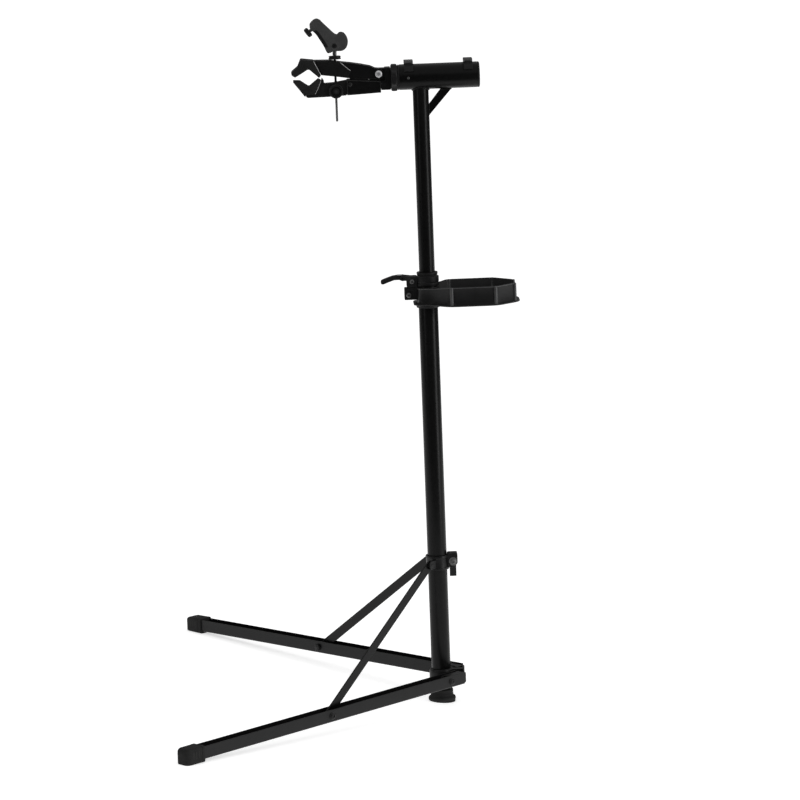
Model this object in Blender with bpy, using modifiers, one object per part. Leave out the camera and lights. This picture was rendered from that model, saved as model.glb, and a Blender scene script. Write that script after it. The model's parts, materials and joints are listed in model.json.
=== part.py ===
"""Folding bike repair stand: V-shaped base, telescoping mast, tool tray and a cam-lever clamp head.

World frame: metres, +Z up, the floor at Z = 0 and the origin under the middle of the mast's rubber foot.
The legs and the clamp head point to -X, the tool tray to +X. The mast leans a little to -X, so most
pieces are placed in the stand's own frame, whose +Z runs along the mast.
"""

import math

import bmesh
import bpy
from mathutils import Vector

# Driving dimensions
GAP = 0.0003
LOWER_R = 0.019
LOWER_WALL = 0.0015
LOWER_TOP = 0.846
UPPER_R = 0.0155
UPPER_BOTTOM = 0.560
UPPER_WALL = 0.0015
ARM_Z = 1.2395
ARM_R = 0.025
ARM_WALL = 0.0022
ARM_FRONT = -0.0405
ARM_REAR = 0.1112
SHAFT_R = 0.0148
FOOT_R = 0.027

LEG_ANGLE = math.radians(46.2)
LEG_PIVOT = Vector((0.0088, 0.0578, 0.0521))
LEG_LENGTH = 0.7420
LEG_TAIL = 0.0391
LEG_W = 0.0265
LEG_H = 0.0244
LEG_WALL = 0.0020
CAP_LENGTH = 0.055
CAP_SIDE = 0.0030
CAP_SOLE = 0.0045

COLLAR_Z = 0.285
COLLAR_H = 0.038
COLLAR_R = 0.0228
BRACE_AT = 0.3459
BRACE_W = 0.0186
BRACE_T = 0.003
BRACE_TOP = Vector((0.0167, 0.0285, 0.279))
COLLAR_LEVER = Vector((0.031, 0.0180, 0.2815))

CLAMP_BOTTOM = 0.8305
CLAMP_TOP = 0.8575
HEIGHT_LEVER = Vector((-0.0480, 0.0, 0.8475))

TRAY_BOTTOM = 0.7950
TRAY_TOP = 0.8325
TRAY_WALL = 0.0025
TRAY_COLLAR_R = 0.0232

PIVOT = Vector((-0.0805, 0.0, ARM_Z + 0.0092))
ROD_X = -0.1639
NUT_Z = ARM_Z - 0.0215
ROD_R = 0.0025
ROD_BOTTOM = 1.1583
CAM_PIN = Vector((ROD_X, 0.0, ARM_Z + 0.0665))
KNOB_AT = Vector((-0.0462, 0.0, 0.0295))
KNOB_TILT = math.radians(36.87)

# The mast leans until the leg caps' soles come down to the floor.
CAP_MIDDLE = LEG_LENGTH - CAP_LENGTH / 2
SOLE_X = LEG_PIVOT.x - CAP_MIDDLE * math.cos(LEG_ANGLE)
LEAN = math.atan2(LEG_PIVOT.z - LEG_H / 2 - CAP_SOLE, -SOLE_X)

COLOURS = {
    "powder_black": ((0.020, 0.020, 0.022), 0.38, 0.0),
    "plastic_black": ((0.024, 0.024, 0.026), 0.55, 0.0),
    "rubber_black": ((0.018, 0.018, 0.019), 0.85, 0.0),
    "zinc_steel": ((0.62, 0.62, 0.63), 0.30, 1.0),
    "black_steel": ((0.030, 0.030, 0.032), 0.35, 0.6),
}


def clear_scene():
    for obj in list(bpy.data.objects):
        bpy.data.objects.remove(obj, do_unlink=True)


def new_collection(name):
    collection = bpy.data.collections.new(name)
    bpy.context.scene.collection.children.link(collection)
    return collection


clear_scene()
STAND = new_collection("bike_repair_stand")
CUTTERS = new_collection("cutters")


def empty(name, location=(0, 0, 0), rotation=(0, 0, 0), parent=None):
    obj = bpy.data.objects.new(name, None)
    obj.location = location
    obj.rotation_euler = rotation
    obj.parent = parent
    STAND.objects.link(obj)
    return obj


def material(slot, node):
    colour, roughness, metallic = COLOURS[slot]
    made = bpy.data.materials.new(node + "_" + slot)
    made.use_nodes = True
    shader = made.node_tree.nodes["Principled BSDF"]
    shader.inputs["Base Color"].default_value = (*colour, 1.0)
    shader.inputs["Roughness"].default_value = roughness
    shader.inputs["Metallic"].default_value = metallic
    return made


def place(obj, slot, location, rotation, parent):
    """Puts a piece in the stand, or among the cutters when it has no material slot."""
    obj.location = location
    obj.rotation_euler = rotation
    obj.parent = parent
    if slot:
        STAND.objects.link(obj)
        obj.data.materials.append(material(slot, obj.name))
    else:
        CUTTERS.objects.link(obj)
        obj.hide_render = True
        obj.display_type = "WIRE"
    return obj


def mesh_object(name, bm):
    bmesh.ops.recalc_face_normals(bm, faces=bm.faces)
    mesh = bpy.data.meshes.new(name)
    bm.to_mesh(mesh)
    bm.free()
    mesh.shade_smooth()
    mesh.set_sharp_from_angle(angle=math.radians(35))
    return bpy.data.objects.new(name, mesh)


def box(name, slot, low, high, rotation=(0, 0, 0), parent=None, bevel=0.0, origin=(0, 0, 0)):
    """A box from its lowest to its highest corner, both counted from its origin."""
    bm = bmesh.new()
    bmesh.ops.create_cube(bm, size=1.0)
    low, high = Vector(low), Vector(high)
    size = high - low
    bmesh.ops.scale(bm, vec=size, verts=bm.verts)
    bmesh.ops.translate(bm, vec=(low + high) / 2, verts=bm.verts)
    obj = place(mesh_object(name, bm), slot, origin, rotation, parent)
    if bevel:
        rounding = obj.modifiers.new("rounding", "BEVEL")
        rounding.width = bevel
        rounding.segments = 1
    return obj


AXIS_TURN = {"Z": (0, 0, 0), "X": (0, math.pi / 2, 0), "Y": (-math.pi / 2, 0, 0)}


def cylinder(name, slot, radius, length, centre, axis="Z", parent=None, sides=16, top=None):
    """A cylinder, or a cone when its top radius differs, centred on a point."""
    bm = bmesh.new()
    bmesh.ops.create_cone(
        bm, cap_ends=True, segments=sides, radius1=radius, radius2=top or radius, depth=length
    )
    return place(mesh_object(name, bm), slot, centre, AXIS_TURN[axis], parent)


def turned(name, slot, profile, origin=(0, 0, 0), axis="Z", parent=None, sides=32):
    """A closed or axis-to-axis profile of (radius, height), outer side from top to bottom, turned."""
    bm = bmesh.new()
    verts = [bm.verts.new((radius, 0.0, height)) for radius, height in profile]
    for first, second in zip(verts, verts[1:]):
        bm.edges.new((first, second))
    if profile[0][0] > 0:
        bm.edges.new((verts[-1], verts[0]))
    mesh = bpy.data.meshes.new(name)
    bm.to_mesh(mesh)
    bm.free()
    obj = place(bpy.data.objects.new(name, mesh), slot, origin, AXIS_TURN[axis], parent)
    screw = obj.modifiers.new("turn", "SCREW")
    screw.steps = sides
    screw.render_steps = sides
    screw.use_merge_vertices = True
    screw.merge_threshold = 0.00001
    screw.use_smooth_shade = True
    return obj


def ring(name, slot, outer, inner, low, high, origin=(0, 0, 0), axis="Z", parent=None, sides=32):
    profile = [(outer, high), (outer, low), (inner, low), (inner, high)]
    return turned(name, slot, profile, origin, axis, parent, sides)


def plate(name, slot, outline, low, high, origin=(0, 0, 0), rotation=(math.pi / 2, 0, 0), parent=None):
    """A flat outline, in X and Z of its origin by default, from low to high along Y."""
    curve = bpy.data.curves.new(name, "CURVE")
    curve.dimensions = "2D"
    curve.fill_mode = "BOTH"
    curve.extrude = (high - low) / 2
    spline = curve.splines.new("POLY")
    spline.points.add(len(outline) - 1)
    for point, (x, y) in zip(spline.points, outline):
        point.co = (x, y, 0.0, 1.0)
    spline.use_cyclic_u = True
    drawn = bpy.data.objects.new(name + "_outline", curve)
    CUTTERS.objects.link(drawn)
    graph = bpy.context.evaluated_depsgraph_get()
    mesh = bpy.data.meshes.new_from_object(drawn.evaluated_get(graph))
    bpy.data.objects.remove(drawn)
    bm = bmesh.new()
    bm.from_mesh(mesh)
    bmesh.ops.remove_doubles(bm, verts=bm.verts, dist=0.00001)
    # The outline's own +Z points to -Y once it stands up, so the middle moves the other way.
    bmesh.ops.translate(bm, vec=(0, 0, -(low + high) / 2), verts=bm.verts)
    return place(mesh_object(name, bm), slot, origin, rotation, parent)


def cut(obj, *cutters):
    for cutter in cutters:
        step = obj.modifiers.new("cut_" + cutter.name, "BOOLEAN")
        step.operation = "DIFFERENCE"
        step.object = cutter
    return obj


def join(obj, *pieces):
    for piece in pieces:
        step = obj.modifiers.new("join_" + piece.name, "BOOLEAN")
        step.operation = "UNION"
        step.object = piece
    return obj


def arc(centre, radius, start, end, steps):
    """Points along an arc, in degrees."""
    angles = [math.radians(start + (end - start) * i / steps) for i in range(steps + 1)]
    return [(centre[0] + radius * math.cos(a), centre[1] + radius * math.sin(a)) for a in angles]


frame = empty("stand_frame", rotation=(0, -LEAN, 0))
floor_cutter = box("floor_cutter", None, (-1, -1, -0.1), (1, 1, 0))


# Mast: lower tube on a rubber foot, upper tube sliding in a plastic bushing
def build_mast():
    lower = LOWER_R - LOWER_WALL
    ring("lower_mast_tube", "powder_black", LOWER_R, lower, 0.009, LOWER_TOP, parent=frame)
    foot = turned(
        "mast_foot",
        "rubber_black",
        [
            (0.0222, 0.0225),
            (0.0222, 0.0105),
            (FOOT_R, 0.0075),
            (FOOT_R, -0.0060),
            (0.0, -0.0060),
            (0.0, 0.0087),
            (LOWER_R + GAP, 0.0087),
            (LOWER_R + GAP, 0.0225),
        ],
        parent=frame,
    )
    cut(foot, floor_cutter)
    bushing_out = lower - GAP
    bushing_in = UPPER_R + GAP
    ring("mast_bushing", "plastic_black", bushing_out, bushing_in, 0.790, LOWER_TOP, parent=frame)
    upper = empty("mast_height", (0, 0, LOWER_TOP), parent=frame)
    up = -LOWER_TOP
    saddle = cylinder("saddle_cutter", None, ARM_R + GAP, 0.12, (0, 0, ARM_Z), "X", frame, 32)
    tube = ring(
        "upper_mast_tube",
        "powder_black",
        UPPER_R,
        UPPER_R - UPPER_WALL,
        UPPER_BOTTOM + up,
        ARM_Z + up,
        parent=upper,
    )
    cut(tube, saddle)
    return upper


def build_arm(parent):
    """The arm tube across the mast's top, with its gusset, bushings, end cap and rod clips."""
    centre = (0, 0, ARM_Z - LOWER_TOP)
    inner = ARM_R - ARM_WALL
    tube = ring(
        "arm_tube", "powder_black", ARM_R, inner, ARM_FRONT, ARM_REAR, centre, "X", parent
    )
    screw_x = -0.0235
    hole = cylinder(
        "bushing_screw_hole", None, 0.0020, 0.012, (screw_x, -ARM_R, centre[2]), "Y", parent, 12
    )
    cut(tube, hole)
    screw = cylinder(
        "bushing_screw", "zinc_steel", 0.0030, 0.0016, (screw_x, -ARM_R - 0.0012, centre[2]),
        "Y", parent, 16, top=0.0022,
    )
    screw.rotation_euler = (math.pi / 2, 0, 0)
    shank = cylinder(
        "bushing_screw_shank", None, 0.0015, 0.0028, (screw_x, -ARM_R + 0.0004, centre[2]),
        "Y", parent, 12,
    )
    join(screw, shank)
    bore = SHAFT_R + 0.0001
    turned(
        "front_bushing",
        "plastic_black",
        [
            (inner - GAP, -0.006),
            (inner - GAP, ARM_FRONT - GAP),
            (0.0245, ARM_FRONT - GAP),
            (0.0245, ARM_FRONT - 0.0032),
            (bore, ARM_FRONT - 0.0032),
            (bore, -0.006),
        ],
        centre, "X", parent,
    )
    ring(
        "rear_bushing", "plastic_black", inner - GAP, bore, 0.082, ARM_REAR - 0.004,
        centre, "X", parent,
    )
    turned(
        "arm_end_cap",
        "plastic_black",
        [
            (0.0, ARM_REAR + 0.0043),
            (0.0180, ARM_REAR + 0.0040),
            (0.0230, ARM_REAR + 0.0030),
            (ARM_R, ARM_REAR + GAP),
            (inner - GAP, ARM_REAR + GAP),
            (inner - GAP, ARM_REAR - 0.003),
            (0.0, ARM_REAR - 0.003),
        ],
        centre, "X", parent,
    )
    low = ARM_R + GAP
    plate(
        "arm_gusset",
        "powder_black",
        [
            (UPPER_R + GAP, -0.0750),
            (0.0600, -low),
            (0.0385, -low),
            (UPPER_R + GAP, -0.0535),
        ],
        -0.0045, 0.0045, centre, parent=parent,
    )
    for name, x in (("rod_clip_front", -0.0221), ("rod_clip_rear", 0.0930)):
        build_rod_clip(name, x, centre, parent)


def build_rod_clip(name, x, centre, parent):
    """A saddle over the arm tube with a grooved block on top, which a bar can lie in."""
    half = 0.0088
    inner = ARM_R + GAP
    outer = ARM_R + 0.0030
    outline = arc((0, 0), outer, 27, 153, 12) + arc((0, 0), inner, 153, 27, 12)
    at = (x, 0, centre[2])
    clip = plate(
        name, "plastic_black", outline, -half, half, at, (math.pi / 2, 0, math.pi / 2), parent
    )
    block = plate(
        name + "_block", None,
        [(-half, 0.0262), (half, 0.0262), (half - 0.0018, 0.0335), (-half, 0.0325)],
        -0.0125, 0.0125, at, parent=parent,
    )
    groove = cylinder(
        name + "_groove", None, 0.0078, 0.05, (x, 0, centre[2] + 0.0345), "X", parent, 20
    )
    cut(join(clip, block), groove)


# Base: bracket on the mast, folding legs, braces and their sliding collar
def build_bracket():
    """The hub round the mast, with two arms that reach back and into the open ends of the legs."""
    low = LEG_PIVOT.z - LEG_H / 2
    high = low + LEG_H
    hub = ring("base_bracket", "powder_black", 0.0235, LOWER_R + GAP, low, high, parent=frame)
    vertex = LEG_PIVOT.x + LEG_PIVOT.y / math.tan(LEG_ANGLE)
    web = box("bracket_web", None, (0.0212, -0.006, low), (vertex - 0.004, 0.006, high), parent=frame)
    join(hub, web)
    half_w = LEG_W / 2 - LEG_WALL - 0.0008
    tail = -math.hypot(vertex - LEG_PIVOT.x, LEG_PIVOT.y)
    for side, name in SIDES:
        leg_frame = empty(name + "_bracket_frame", leg_point(side), (0, 0, leg_turn(side)), frame)
        outline = [(tail, 0.0098), (tail, -0.0098)] + arc((0, 0), 0.0098, -90, 90, 8)
        arm = plate(name + "_bracket_arm", None, outline, -half_w, half_w, parent=leg_frame)
        hollow = box(
            name + "_bracket_hollow", None,
            (-0.058, -half_w + 0.0025, -0.02), (0.02, half_w - 0.0025, 0.0065), parent=leg_frame,
        )
        hole = cylinder(name + "_bracket_hole", None, 0.0043, 0.06, (0, 0, 0), "Y", leg_frame, 16)
        cut(join(hub, arm), hollow, hole)
    # A flat plate closes the bracket where the two arms would meet.
    plate_x = 0.0425
    beyond = box("bracket_beyond", None, (plate_x + 0.0015, -0.1, 0), (0.2, 0.1, 0.1), parent=frame)
    end = box("bracket_end", None, (plate_x, -0.0310, low), (plate_x + 0.0030, 0.0310, high), parent=frame)
    join(cut(hub, beyond), end)


SIDES = ((-1, "near"), (1, "far"))


def leg_point(side):
    return Vector((LEG_PIVOT.x, side * LEG_PIVOT.y, LEG_PIVOT.z))


def leg_turn(side):
    """Turns +X to the leg's outward direction."""
    return math.pi - side * LEG_ANGLE


def through_bolt(name, side, at, parent, half):
    """A button-head bolt along Y whose head is on the outer side, and its hex nut inside."""
    outer = -side
    bolt = turned(
        name + "_bolt_" + dict(SIDES)[side],
        "black_steel",
        [
            (0.0, half + 0.0038),
            (0.0035, half + 0.0036),
            (0.0062, half + 0.0018),
            (0.0065, half + GAP),
            (0.0037, half + GAP),
            (0.0037, -half - 0.0052),
            (0.0, -half - 0.0052),
        ],
        at, "Y", parent, 16,
    )
    bolt.rotation_euler = (-outer * math.pi / 2, 0, 0)
    nut = turned(
        name + "_nut_" + dict(SIDES)[side],
        "black_steel",
        [
            (0.0072, -half - GAP),
            (0.0072, -half - 0.0048),
            (0.0046, -half - 0.0048),
            (0.0046, -half - GAP),
        ],
        at, "Y", parent, 6,
    )
    nut.rotation_euler = (-outer * math.pi / 2, 0, 0)


def build_leg(side, name):
    root = empty("leg_pivot_" + name, leg_point(side), (0, 0, leg_turn(side)), frame)
    half_w = LEG_W / 2
    half_h = LEG_H / 2
    leg = box(
        "leg_" + name, "powder_black", (-LEG_TAIL, -half_w, -half_h),
        (LEG_LENGTH - 0.004, half_w, half_h), parent=root,
    )
    trough = box(
        "leg_trough_" + name, None, (-0.1, -half_w + LEG_WALL, -half_h + LEG_WALL),
        (LEG_LENGTH + 0.1, half_w - LEG_WALL, 0.05), parent=root,
    )
    holes = [
        cylinder("leg_hole_%s_%d" % (name, x * 1000), None, 0.0040, 0.05, (x, 0, 0), "Y", root, 16)
        for x in (0.0, BRACE_AT)
    ]
    cut(leg, trough, *holes)
    cap = box(
        "leg_cap_" + name, "rubber_black",
        (LEG_LENGTH - CAP_LENGTH, -half_w - CAP_SIDE, -half_h - CAP_SOLE - 0.002),
        (LEG_LENGTH, half_w + CAP_SIDE, half_h + CAP_SIDE), parent=root, bevel=0.0035,
    )
    pocket = box(
        "cap_pocket_" + name, None, (0.5, -half_w - GAP, -half_h - GAP),
        (LEG_LENGTH - 0.004 + GAP, half_w + GAP, half_h + GAP), parent=root,
    )
    cut(cap, pocket, floor_cutter)
    bracket_frame = empty("leg_bolt_frame_" + name, leg_point(side), (0, 0, leg_turn(side)), frame)
    through_bolt("leg_pivot", side, (0, 0, 0), bracket_frame, half_w)
    through_bolt("brace", side, (BRACE_AT, 0, 0), root, half_w)
    build_brace(side, name, root)


def build_brace(side, name, leg):
    """A flat bar from the bolt in the leg to the collar, with the pin that joins it there."""
    root = empty("brace_pivot_" + name, (BRACE_AT, 0, 0), parent=leg)
    out = Vector((-math.cos(LEG_ANGLE), side * math.sin(LEG_ANGLE), 0))
    across = Vector((-out.y, out.x, 0))
    top = Vector((-BRACE_TOP.x, side * BRACE_TOP.y, BRACE_TOP.z)) - leg_point(side)
    run = Vector((top.dot(out) - BRACE_AT, top.dot(across), top.z))
    flat = math.hypot(run.x, run.y)
    turn = (math.pi / 2, -math.atan2(run.z, flat), math.atan2(run.y, run.x))
    length = run.length
    radius = BRACE_W / 2
    outline = arc((0, 0), radius, 90, 270, 8) + arc((length, 0), radius, -90, 90, 8)
    bar = plate(
        "brace_" + name, "powder_black", outline, -BRACE_T / 2, BRACE_T / 2,
        rotation=turn, parent=root,
    )
    hole = cylinder("brace_hole_" + name, None, 0.0044, 0.03, (0, 0, 0), "Y", root, 16)
    pin_hole = cylinder("brace_pin_hole_" + name, None, 0.0033, 0.03, run, "Y", root, 16)
    pin_hole.rotation_euler = (-math.pi / 2, 0, turn[2])
    cut(bar, hole, pin_hole)
    outer = -side
    pin = turned(
        "brace_pin_" + name, "black_steel",
        [
            (0.0, 0.0042),
            (0.0030, 0.0040),
            (0.0052, 0.0028),
            (0.0054, BRACE_T / 2 + GAP),
            (0.0030, BRACE_T / 2 + GAP),
            (0.0030, -0.0018),
            (0.0, -0.0018),
        ],
        run, "Y", root, 16,
    )
    pin.rotation_euler = (-outer * math.pi / 2, 0, turn[2])


def build_collar():
    """The collar that slides on the lower tube, with brace lugs and a cam-lever clamp."""
    root = empty("collar_slide", (0, 0, COLLAR_Z), parent=frame)
    half = COLLAR_H / 2
    collar = ring(
        "brace_collar", "powder_black", COLLAR_R, LOWER_R + GAP, -half, half, parent=root
    )
    for side, name in SIDES:
        out = Vector((-math.cos(LEG_ANGLE), side * math.sin(LEG_ANGLE), 0))
        brace_foot = leg_point(side) + out * BRACE_AT
        top = Vector((-BRACE_TOP.x, side * BRACE_TOP.y, BRACE_TOP.z))
        along = brace_foot - top
        lug_turn = math.atan2(along.y, along.x)
        # The lug stands beside the bar, on the side that the bar moves away from.
        low = -side * 0.0037
        lug = box(
            "collar_lug_" + name, None,
            (-0.0150, min(low, low - side * 0.003), -0.0085),
            (0.0070, max(low, low - side * 0.003), 0.0085),
            (0, 0, lug_turn), root, origin=top - Vector((0, 0, COLLAR_Z)),
        )
        join(collar, lug)
    ear_z = COLLAR_LEVER.z - COLLAR_Z
    for side, name in SIDES:
        ear = plate(
            "collar_ear_" + name, None,
            [(0.0205, 0.0150)] + [(0.0205, -0.0150)] + arc((0.0310, 0), 0.0118, -80, 80, 8),
            min(side * 0.003, side * 0.011), max(side * 0.003, side * 0.011),
            (0, 0, ear_z), parent=root,
        )
        join(collar, ear)
    slot = box("collar_slot", None, (0.0100, -0.0015, -half - 0.01), (0.05, 0.0015, half + 0.01), parent=root)
    bolt_hole = cylinder(
        "collar_bolt_hole", None, 0.0033, 0.05, (COLLAR_LEVER.x, 0, ear_z), "Y", root, 16
    )
    cut(collar, slot, bolt_hole)
    bolt = turned(
        "collar_bolt", "zinc_steel",
        [
            (0.0, 0.0152),
            (0.0038, 0.0150),
            (0.0055, 0.0138),
            (0.0055, 0.0126),
            (0.0082, 0.0122),
            (0.0082, 0.0113),
            (0.0030, 0.0113),
            (0.0030, -0.0112),
            (0.0, -0.0112),
        ],
        (COLLAR_LEVER.x, 0, ear_z), "Y", root, 16,
    )
    bolt.rotation_euler = (math.pi / 2, 0, 0)
    lever_root = empty("collar_lever_hinge", (COLLAR_LEVER.x, COLLAR_LEVER.y, ear_z), parent=root)
    reach = 0.0355
    outline = (
        arc((0, 0), 0.0062, 180, 0, 8)
        + [(0.0062, -0.012), (0.0042, -0.024), (0.0036, -reach), (-0.0012, -reach), (-0.0022, -0.022), (-0.0062, -0.010)]
    )
    plate(
        "collar_lever", "plastic_black", outline, -0.0065, 0.0065,
        rotation=(math.pi / 2, 0, math.pi / 2), parent=lever_root,
    )


# Height clamp at the top of the lower tube
def build_height_clamp():
    body = turned(
        "height_clamp_body",
        "plastic_black",
        [
            (0.0195, CLAMP_TOP),
            (0.0206, CLAMP_TOP - 0.0010),
            (0.0206, CLAMP_TOP - 0.0045),
            (0.0192, CLAMP_TOP - 0.0045),
            (0.0192, CLAMP_TOP - 0.0060),
            (0.0226, CLAMP_TOP - 0.0072),
            (0.0226, CLAMP_BOTTOM),
            (LOWER_R + GAP, CLAMP_BOTTOM),
            (LOWER_R + GAP, LOWER_TOP + GAP),
            (UPPER_R + GAP, LOWER_TOP + GAP),
            (UPPER_R + GAP, CLAMP_TOP),
        ],
        parent=frame,
    )
    ears = box(
        "height_clamp_ears", None, (-0.0410, -0.0115, CLAMP_BOTTOM + 0.0030),
        (-0.0205, 0.0115, CLAMP_TOP - 0.0065), parent=frame,
    )
    cheek = arc((HEIGHT_LEVER.x, HEIGHT_LEVER.z), 0.0052, 90, 270, 8) + [
        (-0.034, HEIGHT_LEVER.z - 0.0052), (-0.034, HEIGHT_LEVER.z + 0.0035)
    ]
    cheeks = [
        plate("clamp_cheek_" + name, None, cheek, min(side * 0.0085, side * 0.0115), max(side * 0.0085, side * 0.0115), parent=frame)
        for side, name in SIDES
    ]
    join(body, ears, *cheeks)
    slot = box("clamp_slot", None, (-0.06, -0.0012, 0.8), (-0.0150, 0.0012, 0.9), parent=frame)
    bolt_hole = cylinder("clamp_bolt_hole", None, 0.0028, 0.05, (-0.0305, 0, 0.8405), "Y", frame, 12)
    pin_hole = cylinder(
        "clamp_pin_hole", None, 0.0023, 0.05, HEIGHT_LEVER, "Y", frame, 12
    )
    cut(body, slot, bolt_hole, pin_hole)
    bolt = turned(
        "clamp_bolt", "zinc_steel",
        [
            (0.0, 0.0150),
            (0.0035, 0.0148),
            (0.0046, 0.0136),
            (0.0046, 0.0119),
            (0.0025, 0.0119),
            (0.0025, -0.0118),
            (0.0, -0.0118),
        ],
        (-0.0305, 0, 0.8405), "Y", frame, 12,
    )
    bolt.rotation_euler = (math.pi / 2, 0, 0)
    cylinder("height_lever_pin", "zinc_steel", 0.0020, 0.0228, HEIGHT_LEVER, "Y", frame, 12)
    root = empty("height_lever_hinge", HEIGHT_LEVER, parent=frame)
    upper = [(-0.0010, 0.0062), (-0.0100, 0.0060), (-0.0200, 0.0045), (-0.0320, 0.0005), (-0.0425, -0.0030)]
    lower = [(-0.0430, -0.0105), (-0.0380, -0.0112), (-0.0270, -0.0072), (-0.0170, -0.0038), (-0.0060, -0.0035)]
    lever = plate(
        "height_lever", "plastic_black", arc((0, 0), 0.0062, -120, 80, 8) + upper + lower,
        -0.0078, 0.0078, parent=root,
    )
    bore = cylinder("height_lever_bore", None, 0.0023, 0.03, (0, 0, 0), "Y", root, 12)
    cut(lever, bore)


# Tool tray on its own clamp
def tray_outline(grow):
    """The tray's plan: a neck round the mast that flares to a six-sided tub. Grow widens it."""
    half = [(-0.0200, 0.0270), (0.0080, 0.0330), (0.0430, 0.0640), (0.1310, 0.0640), (0.1700, 0.0260)]
    near = [(x, -y) for x, y in half]
    points = [Vector(p) for p in near + half[::-1]]
    centre = Vector((0.075, 0.0))
    grown = []
    for point in points:
        away = point - centre
        x = point.x + grow * math.copysign(1, away.x)
        y = point.y + grow * math.copysign(1, away.y)
        grown.append((x, y))
    return grown


def build_tray():
    root = empty("tray_swivel", (0, 0, TRAY_BOTTOM), parent=frame)
    height = TRAY_TOP - TRAY_BOTTOM
    floor_t = 0.0030
    flat = (0, 0, 0)
    tray = plate("tool_tray", "plastic_black", tray_outline(0.009), -floor_t, 0, rotation=flat, parent=root)
    walls = plate("tray_walls", None, tray_outline(0.0), -height, -0.001, rotation=flat, parent=root)
    inside = plate(
        "tray_inside", None, tray_outline(-TRAY_WALL), -height - 0.01, -floor_t, rotation=flat, parent=root
    )
    collar = cylinder(
        "tray_collar", None, TRAY_COLLAR_R, 0.041, (0, 0, 0.0135), "Z", root, 32
    )
    bore = cylinder("tray_bore", None, LOWER_R + GAP, 0.10, (0, 0, 0), "Z", root, 32)
    join(tray, walls)
    cut(tray, inside)
    clamp_room = cylinder(
        "tray_clamp_room", None, 0.0234, 0.02,
        (0, 0, CLAMP_BOTTOM - TRAY_BOTTOM - 0.0006 + 0.01), "Z", root, 32,
    )
    join(tray, collar)
    cut(tray, bore, clamp_room)
    block = box(
        "tray_clamp_block", "plastic_black", (-0.0460, -0.0110, 0.0090),
        (-0.0236, 0.0110, 0.0330), parent=root, bevel=0.002,
    )
    hole_at = (-0.0375, 0, 0.0190)
    hole = cylinder("tray_bolt_hole", None, 0.0033, 0.05, hole_at, "Y", root, 16)
    cut(block, hole)
    bolt = turned(
        "tray_clamp_bolt", "zinc_steel",
        [
            (0.0, 0.0152),
            (0.0040, 0.0150),
            (0.0052, 0.0138),
            (0.0052, 0.0113),
            (0.0030, 0.0113),
            (0.0030, -0.0113),
            (0.0, -0.0113),
        ],
        hole_at, "Y", root, 16,
    )
    bolt.rotation_euler = (math.pi / 2, 0, 0)


# Clamp head
def head_outline(points):
    """Jaw outlines are given from the arm's axis height."""
    return [(x - PIVOT.x, z + ARM_Z - PIVOT.z) for x, z in points]


def build_head(arm):
    """The rotating shaft, lock ring and clevis block with the fixed lower jaw."""
    arm_z = ARM_Z - LOWER_TOP
    ring_obj = ring(
        "lock_ring", "plastic_black", 0.0252, SHAFT_R + GAP, -0.0571, -0.0440,
        (0, 0, arm_z), "X", arm, 32,
    )
    lobes = 8
    for i in range(lobes):
        angle = 2 * math.pi * (i + 0.5) / lobes
        lobe = cylinder(
            "lock_ring_lobe_%d" % i, None, 0.0060, 0.0105,
            (-0.0507, 0.0217 * math.sin(angle), arm_z + 0.0217 * math.cos(angle)), "X", arm, 12,
        )
        join(ring_obj, lobe)
    head = empty("head_spin", (0, 0, arm_z), parent=arm)
    ring("head_shaft", "black_steel", SHAFT_R, 0.0115, -0.0640, 0.1050, (0, 0, 0), "X", head, 32)
    block = box(
        "head_block", "powder_black", (-0.0690, -0.0165, -0.0225), (-0.0576, 0.0165, 0.0208),
        parent=head, bevel=0.0015,
    )
    pivot = (PIVOT.x, 0, PIVOT.z - ARM_Z)
    tongue = plate(
        "head_tongue", None,
        [(0.0125, 0.0105), (0.0125, -0.0105)] + arc((0, 0), 0.0105, 270, 90, 10),
        -0.0110, 0.0110, pivot, parent=head,
    )
    heel = box(
        "head_heel", None, (-0.0765, -0.0163, -0.0222), (-0.0670, 0.0163, -0.0045), parent=head
    )
    shaft_bore = cylinder(
        "shaft_bore", None, SHAFT_R + GAP, 0.0080, (-0.0605, 0, 0), "X", head, 32
    )
    pivot_hole = cylinder("pivot_hole", None, 0.0043, 0.06, pivot, "Y", head, 16)
    cut(join(block, tongue, heel), shaft_bore, pivot_hole)
    pivot_screw = turned(
        "jaw_pivot_screw", "zinc_steel",
        [
            (0.0, 0.0168),
            (0.0032, 0.0168),
            (0.0034, 0.0198),
            (0.0058, 0.0198),
            (0.0068, 0.0188),
            (0.0068, 0.0153),
            (0.0040, 0.0153),
            (0.0040, -0.0200),
            (0.0, -0.0200),
        ],
        pivot, "Y", head, 24,
    )
    pivot_screw.rotation_euler = (math.pi / 2, 0, 0)
    nut = ring("jaw_pivot_nut", "black_steel", 0.0078, 0.0050, -0.0196, -0.0153, pivot, "Y", head, 6)
    nut.rotation_euler = (math.pi / 2, 0, 0)
    build_lower_jaw(head)
    build_upper_jaw(head)
    build_clamp_screw(head)


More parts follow.
